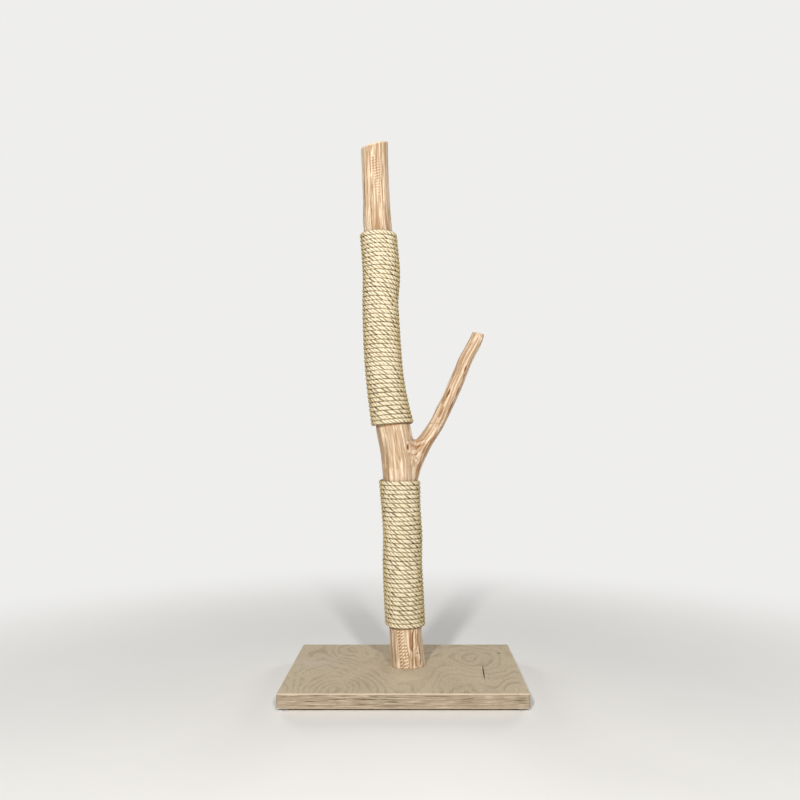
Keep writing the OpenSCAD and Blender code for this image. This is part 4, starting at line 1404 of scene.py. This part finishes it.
def floor_material(s):
    """A pale floor that keeps the shadows near the board, with a trace of fine grain, and runs
    out to the plain tone of the backdrop further off."""
    n = new_material("pale floor")
    place = n.place()
    paler = [min(value + 0.02, 1.0) for value in s.floor]
    colour = n.mix(n.range(n.noise(place, 1.6), 0.35, 0.65), s.floor, paler)
    n.finish(colour, 0.9, n.noise(place, 240.0, 2.0), 0.1, 0.0003, specular=0.1)
    away = n.add("ShaderNodeVectorMath", {0: place}, "Value", operation="LENGTH")
    nodes = n.tree.nodes
    blend = n.add("ShaderNodeMixShader", {
        0: n.range(away, 0.50, 1.8) * n.seen_directly(),
        1: nodes["Principled BSDF"].outputs[0],
        2: n.add("ShaderNodeEmission", {"Color": s.backdrop})})
    n.put(nodes["Material Output"].inputs["Surface"], blend)
    return n.owner


# ---------------------------------------------------------------- operators


def settings():
    """The sizes and colours that the panel shows."""
    return bpy.context.scene.scratching_post


def dress(nodes, material):
    """Gives CAD nodes their material."""
    for node in nodes:
        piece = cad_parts[node]
        piece.data.materials.clear()
        piece.data.materials.append(material)


def set_camera(s):
    """A level camera in front of the post."""
    data = bpy.data.cameras.new("camera")
    data.lens = s.lens
    data.sensor_width = 36
    data.shift_x = s.shift_x
    data.shift_y = s.shift_y
    data.clip_end = 100
    camera = add_object("camera", data)
    camera.location = (s.side, -s.distance, s.height)
    camera.rotation_euler = (np.pi / 2, 0, 0)
    bpy.context.scene.camera = camera


def set_lamps(s):
    """Square area lamps, all pointed at the post's middle: two in front, high up and beside
    the camera, one overhead and two low down behind."""
    warm, white = (1.0, 0.985, 0.96), (1.0, 1.0, 1.0)
    for name, place, power, width, colour in (
        ("lamp left", (-0.68, -3.2, 1.9), s.key * 1.12, 0.22, warm),
        ("lamp right", (0.68, -3.2, 1.9), s.key * 0.86, 0.22, warm),
        ("lamp above", (0.0, 0.2, 3.4), s.top, 2.2, white),
        ("lamp behind left", (-2.0, 3.1, 1.0), s.behind, 1.2, white),
        ("lamp behind right", (2.0, 3.1, 1.0), s.behind, 1.2, white),
    ):
        data = bpy.data.lights.new(name, "AREA")
        data.shape = "SQUARE"
        data.size = width
        data.energy = power
        data.color = colour
        lamp = add_object(name, data)
        lamp.location = place
        gap = Vector((0, 0, 0.5)) - Vector(place)
        lamp.rotation_euler = gap.to_track_quat("-Z", "Y").to_euler()


def set_room(s):
    """A faint even light, and the backdrop's plain tone where a ray sees it directly."""
    room = bpy.data.worlds.new("room")
    n = Nodes(room)
    light = n.tree.nodes["Background"]
    n.put(light.inputs["Color"], (1.0, 0.99, 0.975))
    n.put(light.inputs["Strength"], s.ambient)
    plain = n.add("ShaderNodeBackground", {"Color": s.backdrop, "Strength": 1.0})
    mix = n.add("ShaderNodeMixShader", {0: n.seen_directly(), 1: light.outputs[0], 2: plain})
    n.put(n.tree.nodes["World Output"].inputs["Surface"], mix)
    bpy.context.scene.world = room


def set_floor(s):
    """A flat disc, in rings round the post."""
    spokes = 64
    angle = TURN * np.arange(spokes) / spokes
    rings = np.array([0.4, 1.0, 2.0, 4.0, 8.0, 16.0, 30.0])
    points = rings[:, None, None] * np.stack([np.cos(angle), np.sin(angle), 0 * angle], -1)
    points = np.concatenate([points.reshape(-1, 3), np.zeros((1, 3))])
    ids = np.arange(len(rings) * spokes).reshape(-1, spokes)
    floor = add_object("floor", make_mesh(
        "floor", points, grid_faces(ids)[:, ::-1], fan_faces(ids[0], ids.size),
        floor_material(s)))


class POST_OT_stage(bpy.types.Operator):
    """Set up the camera, the lamps, the room's light and the floor"""
    bl_idname = "scratching_post.stage"
    bl_label = "Stage"

    def execute(self, context):
        context.scene.view_settings.view_transform = "Standard"
        for part in (set_camera, set_lamps, set_room, set_floor):
            part(settings().stage)
        return {"FINISHED"}


class POST_OT_timber(bpy.types.Operator):
    """Make the peeled trunk with its side branch"""
    bl_idname = "scratching_post.timber"
    bl_label = "Trunk and branch"

    def execute(self, context):
        s = settings().trunk
        make_timber(s, wood_material(s))
        return {"FINISHED"}


class POST_OT_windings(bpy.types.Operator):
    """Make the strands and loose fibres of both rope windings"""
    bl_idname = "scratching_post.windings"
    bl_label = "Rope windings"

    def execute(self, context):
        s = settings().rope
        timber = Timber(settings().trunk)
        material = sisal_material(s)
        for name, start, end, turns, tilt, seed in (
            ("rope_lower", s.lower_start, s.lower_end, s.lower_turns, LOWER_TILT, 100),
            ("rope_upper", s.upper_start, s.upper_end, s.upper_turns, UPPER_TILT, 200),
        ):
            line, out = make_winding(name, timber, s, start, end, turns, tilt, seed, material)
            make_hairs(name, line, out, s, seed + 9, material)
        return {"FINISHED"}


class POST_OT_board(bpy.types.Operator):
    """Give the plywood board its veneers"""
    bl_idname = "scratching_post.board"
    bl_label = "Base board"

    def execute(self, context):
        low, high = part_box("base_board")
        birch = birch_material(settings().board, low, high)
        dress(["base_board"], birch)
        return {"FINISHED"}


class POST_OT_fittings(bpy.types.Operator):
    """Give the screws, washer, pins, staples and glides their finish"""
    bl_idname = "scratching_post.fittings"
    bl_label = "Screws, staples and glides"

    def execute(self, context):
        dress(["coach_screw", "coach_washer", "trunk_screws", "glide_pins", "rope_staples"],
              zinc_material())
        dress(["glide_front_left", "glide_front_right", "glide_back_left",
               "glide_back_right"], glide_material())
        return {"FINISHED"}


class POST_PT_panel(bpy.types.Panel):
    """Lists the pieces and their settings"""
    bl_idname = "POST_PT_panel"
    bl_label = "Scratching post"
    bl_space_type = "VIEW_3D"
    bl_region_type = "UI"
    bl_category = "Scratching Post"

    def draw(self, context):
        s = context.scene.scratching_post
        for part, operators in (
            (s.stage, ("stage",)), (s.trunk, ("timber",)), (s.rope, ("windings",)),
            (s.board, ("board", "fittings")),
        ):
            box = self.layout.box()
            for name in part.bl_rna.properties.keys():
                if name not in ("rna_type", "name"):
                    box.prop(part, name)
            for name in operators:
                box.operator("scratching_post." + name)


CLASSES = (
    TrunkSettings, RopeSettings, BoardSettings, StageSettings, PostSettings, POST_OT_stage,
    POST_OT_timber, POST_OT_windings, POST_OT_board, POST_OT_fittings, POST_PT_panel,
)


def register():
    for item in CLASSES:
        bpy.utils.register_class(item)
    bpy.types.Scene.scratching_post = PointerProperty(type=PostSettings)


def unregister():
    del bpy.types.Scene.scratching_post
    for item in reversed(CLASSES):
        bpy.utils.unregister_class(item)


def main():
    register()
    bpy.ops.scratching_post.stage()
    bpy.ops.scratching_post.timber()
    bpy.ops.scratching_post.windings()
    bpy.ops.scratching_post.board()
    bpy.ops.scratching_post.fittings()


if __name__ == "__main__":
    main()
